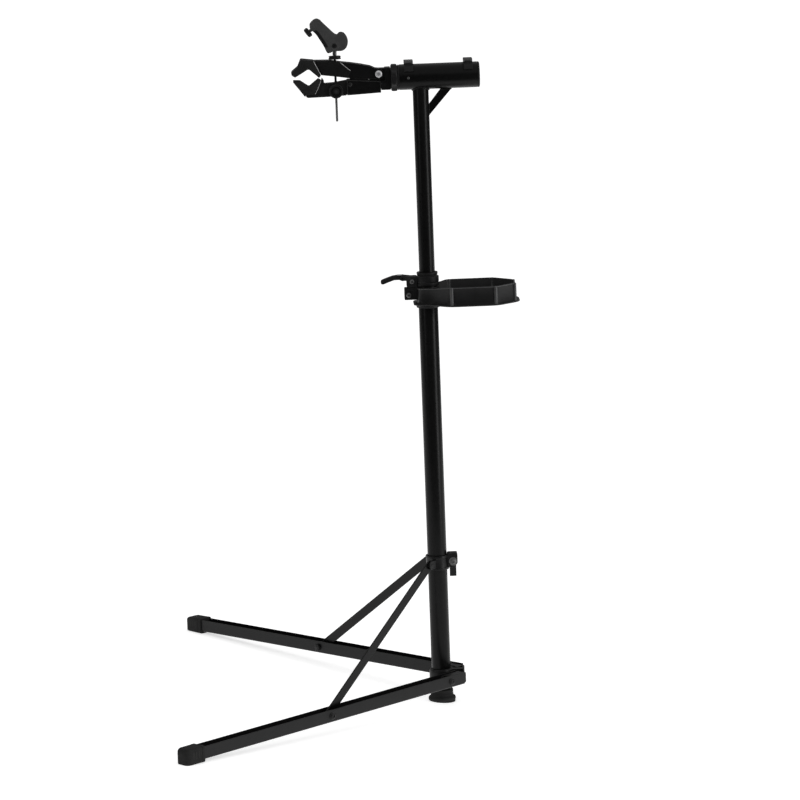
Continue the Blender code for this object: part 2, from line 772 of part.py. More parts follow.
def build_lower_jaw(head):
    at = (PIVOT.x, 0, PIVOT.z - ARM_Z)
    channel = plate(
        "lower_jaw_channel", "powder_black",
        head_outline([(-0.0768, -0.0270), (-0.0768, -0.0040), (-0.1425, 0.0002), (-0.1425, -0.0300)]),
        -0.0150, 0.0150, at, parent=head,
    )
    trough = plate(
        "lower_channel_trough", None,
        head_outline([(-0.0600, -0.0243), (-0.0600, 0.0100), (-0.1500, 0.0100), (-0.1500, -0.0280)]),
        -0.0130, 0.0130, at, parent=head,
    )
    cut(channel, trough)
    arm = plate(
        "lower_jaw_arm", "black_steel",
        head_outline([
            (-0.2244, -0.0304), (-0.2188, -0.0327), (-0.1779, -0.0320), (-0.1440, -0.0305),
            (-0.1424, -0.0272), (-0.0950, -0.0240), (-0.0950, -0.0065), (-0.1100, 0.0062), (-0.1300, 0.0062),
            (-0.1362, 0.0005), (-0.1456, -0.0018), (-0.1690, -0.0052), (-0.1866, -0.0060),
            (-0.1866, -0.0010), (-0.1905, 0.0050), (-0.1919, 0.0000), (-0.1985, -0.0150),
            (-0.2040, -0.0250), (-0.2220, -0.0258),
        ]),
        -0.0115, 0.0115, at, parent=head,
    )
    nut_bore = cylinder("swivel_nut_bore", None, 0.0083, 0.06, (ROD_X, 0, NUT_Z - ARM_Z), "Y", head, 20)
    rod_slot = box(
        "rod_slot", None, (ROD_X - 0.0075, -0.0055, -0.06), (ROD_X + 0.0085, 0.0055, 0.06), parent=head
    )
    cut(arm, nut_bore, rod_slot)
    plate(
        "lower_jaw_pad", "rubber_black",
        head_outline([
            (-0.2455, 0.0011), (-0.2466, -0.0004), (-0.2335, -0.0175), (-0.2243, -0.0298),
            (-0.2218, -0.0253), (-0.2044, -0.0245), (-0.1990, -0.0148), (-0.1927, 0.0002),
            (-0.1975, 0.0032), (-0.2140, -0.0098), (-0.2159, -0.0106), (-0.2180, -0.0100),
            (-0.2329, 0.0004),
        ]),
        -0.0190, 0.0190, at, parent=head,
    )
    rivet_at = (-0.1362, 0, -0.0090)
    rivet_hole = cylinder("jaw_rivet_hole", None, 0.0030, 0.06, rivet_at, "Y", head, 12)
    cut(channel, rivet_hole)
    cut(arm, rivet_hole)
    rivet = turned(
        "lower_jaw_rivet", "zinc_steel",
        [
            (0.0, 0.0176),
            (0.0028, 0.0172),
            (0.0042, 0.0153),
            (0.0026, 0.0153),
            (0.0026, -0.0162),
            (0.0, -0.0162),
        ],
        rivet_at, "Y", head, 12,
    )
    rivet.rotation_euler = (math.pi / 2, 0, 0)


def build_upper_jaw(head):
    root = empty("jaw_hinge", (PIVOT.x, 0, PIVOT.z - ARM_Z), parent=head)
    arm = plate(
        "upper_jaw_arm", "powder_black",
        head_outline([
            (-0.2053, 0.0396), (-0.1751, 0.0388), (-0.1500, 0.0345), (-0.1345, 0.0325),
            (-0.1150, 0.0290), (-0.0961, 0.0248), (-0.0865, 0.0200),
        ])[::-1]
        + head_outline([(-0.1927, 0.0158), (-0.1915, 0.0110), (-0.1690, 0.0080), (-0.1362, 0.0030)])
        + arc((0, 0), 0.0105, -95, 65, 10),
        -0.0150, 0.0150, parent=root,
    )
    hollow = plate(
        "upper_jaw_hollow", None,
        head_outline([
            (-0.1880, 0.0350), (-0.1751, 0.0352), (-0.1500, 0.0310), (-0.1345, 0.0290),
            (-0.1150, 0.0255), (-0.0961, 0.0212), (-0.0840, 0.0235), (-0.0640, 0.0235),
            (-0.0640, -0.0100), (-0.1880, -0.0100),
        ]),
        -0.0120, 0.0120, parent=root,
    )
    rod_slot = box(
        "upper_rod_slot", None, (ROD_X - PIVOT.x - 0.0055, -0.0045, 0), (ROD_X - PIVOT.x + 0.0055, 0.0045, 0.06), parent=root
    )
    pivot_hole = cylinder("jaw_pivot_hole", None, 0.0043, 0.06, (0, 0, 0), "Y", root, 16)
    cut(arm, hollow, rod_slot, pivot_hole)
    plate(
        "upper_jaw_pad", "rubber_black",
        head_outline([
            (-0.2057, 0.0398), (-0.2301, 0.0428), (-0.2369, 0.0281), (-0.2470, 0.0200),
            (-0.2496, 0.0170), (-0.2485, 0.0125), (-0.2422, 0.0086), (-0.2323, 0.0140),
            (-0.2185, 0.0224), (-0.2160, 0.0230), (-0.2135, 0.0222), (-0.1958, 0.0062),
            (-0.1920, 0.0105), (-0.1931, 0.0158),
        ])[::-1],
        -0.0190, 0.0190, parent=root,
    )


def build_clamp_screw(head):
    """Swivel nut, threaded rod, cone seat and the cam lever with its crank knob."""
    nut_root = empty("nut_swivel", (ROD_X, 0, NUT_Z - ARM_Z), parent=head)
    nut = cylinder("swivel_nut", "black_steel", 0.0079, 0.0244, (0, 0, 0), "Y", nut_root, 20)
    for side, name in SIDES:
        disc = cylinder(
            "swivel_nut_disc_" + name, None, 0.0138, 0.0040, (0, side * 0.0140, 0), "Y", nut_root, 20
        )
        join(nut, disc)
    rod_hole = cylinder("swivel_nut_hole", None, ROD_R + GAP, 0.04, (0, 0, 0), "Z", nut_root, 12)
    cut(nut, rod_hole)
    travel = empty("rod_travel", parent=nut_root)
    seat_z = ARM_Z + 0.0396 - NUT_Z
    turned(
        "cam_seat", "black_steel",
        [
            (0.0098, seat_z + 0.0066),
            (0.0098, seat_z + 0.0040),
            (0.0125, seat_z + 0.0016),
            (0.0110, seat_z + 0.0004),
            (0.0070, seat_z),
            (ROD_R + GAP, seat_z),
            (ROD_R + GAP, seat_z + 0.0066),
        ],
        parent=travel, sides=24,
    )
    spin = empty("handle_spin", parent=travel)
    pin_z = CAM_PIN.z - NUT_Z
    rod = cylinder(
        "clamp_rod", "zinc_steel", ROD_R, pin_z - (ROD_BOTTOM - NUT_Z),
        (0, 0, (pin_z + ROD_BOTTOM - NUT_Z) / 2), "Z", spin, 12,
    )
    eye = cylinder("rod_eye", None, 0.0058, 0.0080, (0, 0, pin_z), "Y", spin, 16)
    shoulder = cylinder("rod_shoulder", None, 0.0040, 0.0170, (0, 0, pin_z - 0.0105), "Z", spin, 16)
    eye_hole = cylinder("rod_eye_hole", None, 0.0031, 0.03, (0, 0, pin_z), "Y", spin, 12)
    cut(join(rod, eye, shoulder), eye_hole)
    cam = empty("cam_hinge", (0, 0, pin_z), parent=spin)
    cylinder("cam_pin", "zinc_steel", 0.0028, 0.0210, (0, 0, 0), "Y", cam, 12)
    nose = [
        (0.0005, 0.0233), (0.0059, 0.0206), (0.0094, 0.0247), (0.0139, 0.0260), (0.0193, 0.0241),
        (0.0236, 0.0188), (0.0263, 0.0126), (0.0268, 0.0059), (0.0252, -0.0008), (0.0220, -0.0062),
        (0.0166, -0.0099), (0.0126, -0.0107),
    ]
    sole = [(-0.0021, -0.0107), (-0.0088, -0.0139), (-0.0134, -0.0142), (-0.0158, -0.0110)]
    back = [(-0.0182, -0.0048), (-0.0222, 0.0032), (-0.0263, 0.0099), (-0.0303, 0.0166), (-0.0351, 0.0241)]
    grip = [
        (-0.0397, 0.0287), (-0.0437, 0.0314), (-0.0464, 0.0367), (-0.0464, 0.0429), (-0.0423, 0.0482),
        (-0.0370, 0.0523), (-0.0316, 0.0533), (-0.0263, 0.0509), (-0.0222, 0.0461), (-0.0142, 0.0381),
        (-0.0062, 0.0300),
    ]
    outline = nose + sole + back + grip
    lever = plate("cam_lever", "plastic_black", outline, -0.0100, 0.0100, parent=cam)
    slot = cylinder("cam_slot", None, 0.0250, 0.0096, (0, 0, 0), "Y", cam, 32)
    pin_hole = cylinder("cam_pin_hole", None, 0.0031, 0.03, (0, 0, 0), "Y", cam, 12)
    knob_frame = empty("knob_spin", KNOB_AT, (0, -KNOB_TILT, 0), cam)
    boss = cylinder("knob_boss", None, 0.0034, 0.0140, (-0.0010, 0, 0), "X", knob_frame, 12)
    cut(join(lever, boss), slot, pin_hole)
    turned(
        "crank_knob", "plastic_black",
        [
            (0.0080, -0.0002),
            (0.0098, -0.0020),
            (0.0098, -0.0072),
            (0.0080, -0.0090),
            (0.0, -0.0090),
            (0.0, -0.0083),
            (0.0037, -0.0083),
            (0.0037, -0.0002),
        ],
        (0, 0, 0), "X", knob_frame, 20,
    )


upper_mast = build_mast()
build_arm(upper_mast)
build_head(upper_mast)
build_bracket()
for leg_side, leg_name in SIDES:
    build_leg(leg_side, leg_name)
build_collar()
build_height_clamp()
build_tray()
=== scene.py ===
"""Bike repair stand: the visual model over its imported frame.

Most pieces are laid out in the stand's own frame, whose +Z runs up the leaning mast, and are
placed by STAND. Metres throughout.
"""

import json
import math

import bmesh
import bpy
from mathutils import Matrix, Vector


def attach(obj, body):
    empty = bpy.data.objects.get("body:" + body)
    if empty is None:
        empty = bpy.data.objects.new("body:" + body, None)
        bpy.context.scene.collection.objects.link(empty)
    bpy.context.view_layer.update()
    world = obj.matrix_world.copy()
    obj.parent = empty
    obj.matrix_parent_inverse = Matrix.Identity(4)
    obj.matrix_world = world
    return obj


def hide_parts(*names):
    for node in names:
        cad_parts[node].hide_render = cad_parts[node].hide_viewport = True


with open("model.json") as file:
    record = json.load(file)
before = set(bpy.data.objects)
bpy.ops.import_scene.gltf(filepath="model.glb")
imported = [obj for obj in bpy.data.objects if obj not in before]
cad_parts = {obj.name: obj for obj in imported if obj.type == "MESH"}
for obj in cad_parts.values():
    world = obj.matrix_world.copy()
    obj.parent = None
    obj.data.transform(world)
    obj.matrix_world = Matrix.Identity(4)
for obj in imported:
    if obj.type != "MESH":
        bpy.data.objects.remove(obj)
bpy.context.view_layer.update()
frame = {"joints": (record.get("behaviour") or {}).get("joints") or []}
JOINTS = {joint["name"]: joint for joint in frame["joints"]}

# The stand's frame, read from the mast's slide
MAST_AXIS = Vector(JOINTS["mast_height"]["axis"])
LEAN = math.atan2(-MAST_AXIS.x, MAST_AXIS.z)
STAND = Matrix.Rotation(-LEAN, 4, "Y")


def joint_point(name):
    """A joint's place in the stand's frame."""
    return STAND.inverted() @ Vector(JOINTS[name]["pos_m"])


# Driving dimensions
LOWER_R = 0.019
LOWER_TOP = 0.846
UPPER_R = 0.0155
UPPER_BOTTOM = 0.56
ARM_R = 0.025
ARM_FRONT = -0.0405
ARM_REAR = 0.1112
ARM_Z = joint_point("head_spin").z
SHAFT_R = 0.0148
LEG_PIVOT = joint_point("leg_fold_far")
LEG_DIRECTION = STAND.inverted().to_3x3() @ (
    Vector(JOINTS["brace_turn_far"]["pos_m"]) - Vector(JOINTS["leg_fold_far"]["pos_m"])
)
LEG_ANGLE = math.atan2(LEG_DIRECTION.y, -LEG_DIRECTION.x)
BRACE_AT = LEG_DIRECTION.length
LEG_LENGTH = 0.742
LEG_TAIL = 0.0391
LEG_W = 0.0265
LEG_H = 0.0244
LEG_WALL = 0.002
HUB_R = 0.0235
BRACKET_END = 0.0427
BRACKET_TAIL = -0.0455
CAP_LENGTH = 0.047
COLLAR_Z = 0.285
COLLAR_H = 0.038
COLLAR_R = 0.0228
BRACE_W = 0.0186
BRACE_T = 0.003
BRACE_TOP = Vector((0.0167, 0.0285, 0.279))
COLLAR_LEVER = joint_point("collar_lever_throw")
CLAMP_BOTTOM = 0.8305
CLAMP_TOP = 0.8575
HEIGHT_LEVER = joint_point("height_lever_throw")
TRAY_BOTTOM = 0.795
TRAY_H = 0.0375
JAW_PIVOT = joint_point("jaw_open")
NUT = joint_point("nut_swivel")
CAM_PIN = joint_point("cam_throw")
ROD_R = 0.0025
ROD_BOTTOM = 1.1583
KNOB = joint_point("knob_spin")
KNOB_AXIS = STAND.inverted().to_3x3() @ Vector(JOINTS["knob_spin"]["axis"])
KNOB_TILT = math.atan2(KNOB_AXIS.z, KNOB_AXIS.x)
SIDES = ((-1, "near"), (1, "far"))


# Materials
def add_node(tree, kind, **sockets):
    node = tree.nodes.new(kind)
    for key, value in sockets.items():
        node.inputs[key.replace("_", " ")].default_value = value
    return node


def ramp(tree, source, stops):
    node = tree.nodes.new("ShaderNodeValToRGB")
    tree.links.new(source, node.inputs["Fac"])
    elements = node.color_ramp.elements
    for element, (place, colour) in zip(elements, stops):
        element.position = place
        element.color = (*colour, 1.0)
    return node


def span(tree, source, low, high):
    node = tree.nodes.new("ShaderNodeMapRange")
    tree.links.new(source, node.inputs["Value"])
    node.inputs["To Min"].default_value = low
    node.inputs["To Max"].default_value = high
    return node


def surface(name, dark, light, rough, grain, depth, wear_and_edge_sheen=None, metallic=0.0, spec=0.5):
    """A finish with drifting colour, uneven gloss, a fine grain and, where stated, lighter edges: partly
    rubbed wear, partly a painted edge highlight.

    Dark and light are the colour's ends, rough its gloss range, grain the bump's size in metres,
    depth its height; the edge colour shows along the edges, partly as rubbed wear and partly as a painted
    highlight.
    """
    made = bpy.data.materials.new(name)
    made.use_nodes = True
    tree = made.node_tree
    shader = tree.nodes["Principled BSDF"]
    shader.inputs["Metallic"].default_value = metallic
    shader.inputs["Specular IOR Level"].default_value = spec
    place = tree.nodes.new("ShaderNodeTexCoord").outputs["Object"]
    drift = add_node(tree, "ShaderNodeTexNoise", Scale=38.0, Detail=6.0, Roughness=0.65)
    smudge = add_node(tree, "ShaderNodeTexNoise", Scale=160.0, Detail=4.0, Roughness=0.6)
    fine = add_node(tree, "ShaderNodeTexNoise", Scale=1.0 / grain, Detail=3.0, Roughness=0.6)
    for noise in (drift, smudge, fine):
        tree.links.new(place, noise.inputs["Vector"])
    colour = ramp(tree, drift.outputs["Fac"], [(0.3, dark), (0.7, light)])
    mixed = colour.outputs["Color"]
    # Convex edges, picked by pointiness and broken up by noise, take the lighter edge colour: partly rubbed
    # wear, partly a painted highlight along the edges.
    if wear_and_edge_sheen:
        edges = tree.nodes.new("ShaderNodeNewGeometry")
        worn_and_sheen_mask = ramp(tree, edges.outputs["Pointiness"], [(0.53, (0, 0, 0)), (0.62, (1, 1, 1))])
        broken = tree.nodes.new("ShaderNodeMath")
        broken.operation = "MULTIPLY"
        tree.links.new(worn_and_sheen_mask.outputs["Color"], broken.inputs[0])
        tree.links.new(smudge.outputs["Fac"], broken.inputs[1])
        mix = tree.nodes.new("ShaderNodeMix")
        mix.data_type = "RGBA"
        mix.inputs[7].default_value = (*wear_and_edge_sheen, 1.0)
        tree.links.new(broken.outputs["Value"], mix.inputs["Factor"])
        tree.links.new(mixed, mix.inputs[6])
        mixed = mix.outputs[2]
    tree.links.new(mixed, shader.inputs["Base Color"])
    gloss = span(tree, smudge.outputs["Fac"], *rough)
    tree.links.new(gloss.outputs["Result"], shader.inputs["Roughness"])
    bump = add_node(tree, "ShaderNodeBump", Strength=0.6, Distance=depth)
    tree.links.new(fine.outputs["Fac"], bump.inputs["Height"])
    tree.links.new(bump.outputs["Normal"], shader.inputs["Normal"])
    return made


POWDER = surface(
    "powder_coat", (0.0026, 0.0026, 0.0028), (0.0046, 0.0046, 0.0048), (0.3, 0.42), 0.0011, 0.00006,
    wear_and_edge_sheen=(0.03, 0.03, 0.03), spec=0.19,
)
ARM_PAINT = surface(
    "arm_paint", (0.0016, 0.0016, 0.0016), (0.0028, 0.0028, 0.0028), (0.24, 0.34), 0.001, 0.00005,
    wear_and_edge_sheen=(0.03, 0.03, 0.03), spec=0.12,
)
PLASTIC = surface(
    "moulded_plastic", (0.0045, 0.0045, 0.0048), (0.008, 0.008, 0.0083), (0.42, 0.58), 0.0007, 0.00008,
    wear_and_edge_sheen=(0.03, 0.03, 0.03), spec=0.2,
)
GREY_PLASTIC = surface(
    "grey_plastic", (0.036, 0.036, 0.036), (0.054, 0.054, 0.054), (0.48, 0.64), 0.0008, 0.00012,
    wear_and_edge_sheen=(0.05, 0.05, 0.05), spec=0.4,
)
TRAY_PLASTIC = surface(
    "tray_plastic", (0.006, 0.006, 0.0062), (0.01, 0.01, 0.0102), (0.4, 0.55), 0.0009, 0.0001,
    wear_and_edge_sheen=(0.06, 0.06, 0.06), spec=0.22,
)
# Much paler than the other plastic: a painted highlight on the clips' rests, where they catch the light
# from above.
CLIP_LIT_PLASTIC = surface(
    "clip_plastic_lit", (0.06, 0.06, 0.06), (0.09, 0.09, 0.09), (0.5, 0.62), 0.0008, 0.00008,
    wear_and_edge_sheen=(0.1, 0.1, 0.1), spec=0.4,
)
RUBBER = surface(
    "rubber", (0.006, 0.006, 0.006), (0.012, 0.012, 0.0116), (0.66, 0.86), 0.0009, 0.00014,
    wear_and_edge_sheen=(0.04, 0.04, 0.038), spec=0.22,
)
PAD_RUBBER = surface(
    "pad_rubber", (0.0075, 0.0075, 0.0074), (0.013, 0.013, 0.0128), (0.6, 0.78), 0.0009, 0.00014,
    wear_and_edge_sheen=(0.05, 0.05, 0.05), spec=0.2,
)
ZINC = surface(
    "zinc_plate", (0.66, 0.66, 0.67), (0.82, 0.82, 0.83), (0.34, 0.5), 0.0008, 0.00003, metallic=0.65,
)
# A pale metal for the thin lines along the jaws' seams: a painted highlight on those edges.
SEAM_HIGHLIGHT = surface(
    "painted_seam_highlight", (0.55, 0.55, 0.55), (0.75, 0.75, 0.75), (0.4, 0.55), 0.0008, 0.00003, metallic=0.3,
)
DARK_STEEL = surface(
    "black_oxide", (0.004, 0.004, 0.0041), (0.008, 0.008, 0.0082), (0.3, 0.46), 0.0008, 0.00005,
    wear_and_edge_sheen=(0.08, 0.08, 0.08), metallic=0.2, spec=0.24,
)
# A lighter plastic for the lines along the tray's rim and flange and for its corner posts: a painted
# highlight on those edges.
TRAY_HIGHLIGHT = surface(
    "painted_tray_highlight", (0.035, 0.035, 0.036), (0.06, 0.06, 0.061), (0.32, 0.46), 0.0008, 0.00006, spec=0.5,
)
# A lighter paint for the thin lines round the lower jaw's channel: a painted highlight on its folded edges.
FOLD_HIGHLIGHT = surface(
    "painted_fold_highlight", (0.04, 0.04, 0.04), (0.065, 0.065, 0.065), (0.34, 0.48), 0.0008, 0.00005, spec=0.45,
)
ROD_STEEL = surface(
    "rod_steel", (0.1, 0.1, 0.1), (0.17, 0.17, 0.17), (0.3, 0.44), 0.0008, 0.00003, metallic=0.7,
)


# Shape helpers
def stand(x=0.0, y=0.0, z=0.0, turn=None, axis="Z"):
    """A frame at a point of the stand's, turned about one axis."""
    placed = STAND @ Matrix.Translation((x, y, z))
    return placed @ Matrix.Rotation(turn, 4, axis) if turn else placed


MERGE_DISTANCE = 0.00001
TO_X = Matrix.Rotation(math.pi / 2, 4, "Y")
TO_NEAR = Matrix.Rotation(math.pi / 2, 4, "X")
TO_FAR = Matrix.Rotation(-math.pi / 2, 4, "X")


def add(name, bm, finish, body, nodes=(), at=None, bevel=0.0, segments=2, angle=35):
    """Closes a piece's mesh, gives it its finish and body, and hides the CAD nodes that it stands for."""
    bmesh.ops.remove_doubles(bm, verts=bm.verts, dist=MERGE_DISTANCE)
    bmesh.ops.recalc_face_normals(bm, faces=bm.faces)
    mesh = bpy.data.meshes.new(name)
    bm.to_mesh(mesh)
    bm.free()
    mesh.transform(at or STAND)
    mesh.shade_smooth()
    mesh.set_sharp_from_angle(angle=math.radians(angle))
    piece = bpy.data.objects.new(name, mesh)
    bpy.context.scene.collection.objects.link(piece)
    piece.data.materials.append(finish)
    if bevel:
        rounding = piece.modifiers.new("rounding", "BEVEL")
        rounding.width = bevel
        rounding.segments = segments
        rounding.limit_method = "ANGLE"
        rounding.angle_limit = math.radians(28)
        rounding.harden_normals = True
    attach(piece, body)
    if nodes:
        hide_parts(*nodes)


def lathe(profile, steps=64, bm=None, matrix=None, closed=False):
    """A profile of (radius, height) turned about Z. A closed one joins its last point to its first."""
    bm = bm or bmesh.new()
    rings = []
    for radius, height in profile:
        count = 1 if radius < 1e-7 else steps
        ring = []
        for i in range(count):
            angle = 2 * math.pi * i / steps
            point = Vector((radius * math.cos(angle), radius * math.sin(angle), height))
            ring.append(bm.verts.new(matrix @ point if matrix else point))
        rings.append(ring)
    pairs = list(zip(rings, rings[1:]))
    if closed:
        pairs.append((rings[-1], rings[0]))
    for first, second in pairs:
        for i in range(steps):
            corners = [first[i % len(first)], first[(i + 1) % len(first)]]
            corners += [second[(i + 1) % len(second)], second[i % len(second)]]
            corners = list(dict.fromkeys(corners))
            if len(corners) > 2:
                bm.faces.new(corners)
    return bm


def soften(profile, radius, steps=3):
    """Rounds each corner of a closed outline with a short curve."""
    made = []
    count = len(profile)
    for i, point in enumerate(profile):
        here = Vector(point)
        before = Vector(profile[i - 1])
        after = Vector(profile[(i + 1) % count])
        reach_in = min(radius, (before - here).length * 0.45)
        reach_out = min(radius, (after - here).length * 0.45)
        start = here + (before - here).normalized() * reach_in
        end = here + (after - here).normalized() * reach_out
        for k in range(steps + 1):
            t = k / steps
            made.append(tuple(start * (1 - t) ** 2 + here * 2 * t * (1 - t) + end * t * t))
    return made


def tube(outer, inner, low, high, lip=0.0006, steps=72):
    """An open tube with rounded ends."""
    profile = [
        (outer - lip, high), (outer - lip * 0.3, high - lip * 0.3), (outer, high - lip),
        (outer, low + lip),
        (outer - lip * 0.3, low + lip * 0.3), (outer - lip, low), (inner, low), (inner, high),
    ]
    return lathe(profile, steps, closed=True)


def prism(outline, low, high, bm=None, matrix=None):
    """An outline in XZ, drawn from low to high along Y."""
    bm = bm or bmesh.new()
    rings = []
    for y in (low, high):
        points = [Vector((x, y, z)) for x, z in outline]
        rings.append([bm.verts.new(matrix @ p if matrix else p) for p in points])
    count = len(outline)
    for i in range(count):
        k = (i + 1) % count
        bm.faces.new((rings[0][i], rings[0][k], rings[1][k], rings[1][i]))
    bm.faces.new(rings[0])
    bm.faces.new(rings[1])
    return bm


def loft(loops, cap=True):
    """A skin over loops of equally many points, with its two ends filled."""
    bm = bmesh.new()
    rings = [[bm.verts.new(point) for point in loop] for loop in loops]
    for first, second in zip(rings, rings[1:]):
        for i in range(len(first)):
            k = (i + 1) % len(first)
            bm.faces.new((first[i], first[k], second[k], second[i]))
    if cap:
        bm.faces.new(rings[0])
        bm.faces.new(rings[-1])
    return bm


def block(low, high, bm=None, matrix=None):
    outline = [(low[0], low[2]), (high[0], low[2]), (high[0], high[2]), (low[0], high[2])]
    return prism(outline, low[1], high[1], bm, matrix)


def arc(centre, radius, start, end, steps):
    angles = [math.radians(start + (end - start) * i / steps) for i in range(steps + 1)]
    return [(centre[0] + radius * math.cos(a), centre[1] + radius * math.sin(a)) for a in angles]


def bead(name, points, radius, finish, body, closed=True):
    """A raised line such as a weld, thicker and thinner as it goes."""
    curve = bpy.data.curves.new(name, "CURVE")
    curve.dimensions = "3D"
    curve.bevel_depth = radius
    curve.bevel_resolution = 2
    curve.use_fill_caps = True
    spline = curve.splines.new("POLY")
    spline.points.add(len(points) - 1)
    for i, (point, place) in enumerate(zip(spline.points, points)):
        point.co = (*(STAND @ Vector(place)), 1.0)
        point.radius = 1.0 + 0.16 * math.sin(i * 2.1)
    spline.use_cyclic_u = closed
    piece = bpy.data.objects.new(name, curve)
    bpy.context.scene.collection.objects.link(piece)
    curve.materials.append(finish)
    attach(piece, body)


def socket_head(radius, height, bm=None, matrix=None, hex_r=None, steps=40):
    """A button head on Z = 0 with a six-sided socket in its top."""
    hex_r = hex_r or radius * 0.42
    bm = lathe(
        [
            (0.0, 0.0), (radius, 0.0), (radius, height * 0.18), (radius * 0.93, height * 0.5),
            (radius * 0.8, height * 0.8), (radius * 0.6, height), (hex_r * 1.15, height),
        ],
        steps, bm, matrix,
    )
    bm = lathe([(hex_r * 1.15, height), (hex_r, height * 0.97)], steps, bm, matrix)
    bm = lathe([(hex_r, height * 0.97), (hex_r, height * 0.35), (0.0, height * 0.35)], 6, bm, matrix)
    return bm


def hex_nut(radius, height, bore, matrix):
    """A chamfered hex nut on Z = 0."""
    chamfer = radius * 0.1
    return lathe(
        [
            (bore, 0.0), (radius - chamfer, 0.0), (radius, chamfer * 0.6),
            (radius, height - chamfer * 0.6),
            (radius - chamfer, height), (bore, height),
        ],
        6, matrix=matrix, closed=True,
    )


# Mast
def build_mast():
    add(
        "lower_tube", tube(LOWER_R, 0.0176, 0.0092, LOWER_TOP, steps=96), ARM_PAINT, "base",
        ["lower_mast_tube"],
    )
    foot = [
        (0.0198, 0.024), (0.0215, 0.0236), (0.0224, 0.0222), (0.0224, 0.018), (0.0216, 0.0172),
        (0.0216, 0.016), (0.0224, 0.0152), (0.0226, 0.0118), (0.024, 0.0102), (0.0262, 0.0088),
        (0.027, 0.007),
        (0.027, 0.0035), (0.0262, 0.0023), (0.0, 0.0023),
    ]
    add("rubber_foot", lathe(foot, 96), RUBBER, "base", ["mast_foot"])
    tread = [(0.0, 0.003), (0.024, 0.003), (0.0262, 0.0023), (0.0262, 0.0), (0.0, 0.0)]
    add("foot_tread", lathe(tread[::-1], 64), RUBBER, "base", at=Matrix.Identity(4))
    upper = tube(UPPER_R, 0.0142, UPPER_BOTTOM, ARM_Z - 0.006, steps=96)
    add("upper_tube", upper, ARM_PAINT, "upper_mast", ["upper_mast_tube"])
    sleeve = tube(0.0172, 0.0158, 0.79, LOWER_TOP, steps=64)
    add("mast_sleeve", sleeve, PLASTIC, "base", ["mast_bushing"])


def build_arm():
    at = stand(0, 0, ARM_Z) @ TO_X
    body = "upper_mast"
    add(
        "arm_barrel", tube(ARM_R, 0.0228, ARM_FRONT, ARM_REAR, 0.001, 96), ARM_PAINT, body, ["arm_tube"],
        at,
    )
    cap = [
        (0.0, 0.1124), (0.0085, 0.1124), (0.0092, 0.1134), (0.0165, 0.1138), (0.0172, 0.1155),
        (0.0228, 0.1152), (0.0244, 0.1142), (0.025, 0.1128), (0.025, 0.1116), (0.0228, 0.1114),
        (0.0, 0.111),
    ]
    cap_bm = lathe(cap, 96)
    for i in range(6):
        turn = Matrix.Rotation(i * math.pi / 3, 4, "Z")
        block((0.0085, -0.0008, 0.112), (0.018, 0.0008, 0.1152), cap_bm, turn)
    add("end_cap", cap_bm, PLASTIC, body, ["arm_end_cap"], at, 0.0003)
    bushing = [
        (0.0226, -0.006), (0.0226, -0.0408), (0.024, -0.0408), (0.0246, -0.0414), (0.0246, -0.043),
        (0.0238, -0.0437), (0.015, -0.0437), (0.015, -0.006),
    ]
    add("front_sleeve", lathe(bushing, 96, closed=True), PLASTIC, body, ["front_bushing"], at)
    add("rear_sleeve", tube(0.0226, 0.015, 0.082, 0.1068), PLASTIC, body, ["rear_bushing"], at)
    screw = socket_head(0.0026, 0.0018, hex_r=0.0012, steps=24)
    screw_at = stand(-0.0235, -ARM_R + 0.0001, ARM_Z) @ TO_NEAR
    add("sleeve_screw", screw, ROD_STEEL, body, ["bushing_screw"], screw_at)

    # The gusset is a flat bar on edge, with its ends cut to the tubes.
    low = ARM_Z - ARM_R - 0.0002
    outline = [
        (UPPER_R + 0.0002, ARM_Z - 0.075), (0.06, low), (0.0385, low),
        (UPPER_R + 0.0002, ARM_Z - 0.0535),
    ]
    add(
        "gusset", prism(outline, -0.0045, 0.0045), ARM_PAINT, body, ["arm_gusset"], bevel=0.001,
        segments=3,
    )
    radius = UPPER_R + 0.0006
    saddle = []
    for i in range(72):
        angle = 2 * math.pi * i / 72
        x, y = radius * math.cos(angle), radius * math.sin(angle)
        saddle.append((x, y, ARM_Z - math.sqrt(ARM_R ** 2 - y * y) - 0.0006))
    bead("saddle_weld", saddle, 0.0016, ARM_PAINT, body)
    for side, name in SIDES:
        y = side * 0.0047
        steps = 14
        along = [(0.0385 + 0.0215 * i / steps, y, low - 0.0004) for i in range(steps + 1)]
        bead("gusset_weld_top_" + name, along, 0.0012, ARM_PAINT, body, closed=False)
        climb = [(UPPER_R - 0.0002, y, ARM_Z - 0.075 + 0.0215 * i / steps) for i in range(steps + 1)]
        bead("gusset_weld_low_" + name, climb, 0.0012, ARM_PAINT, body, closed=False)
    for name, x in (("front", -0.0221), ("rear", 0.093)):
        build_clip(name, x, body)


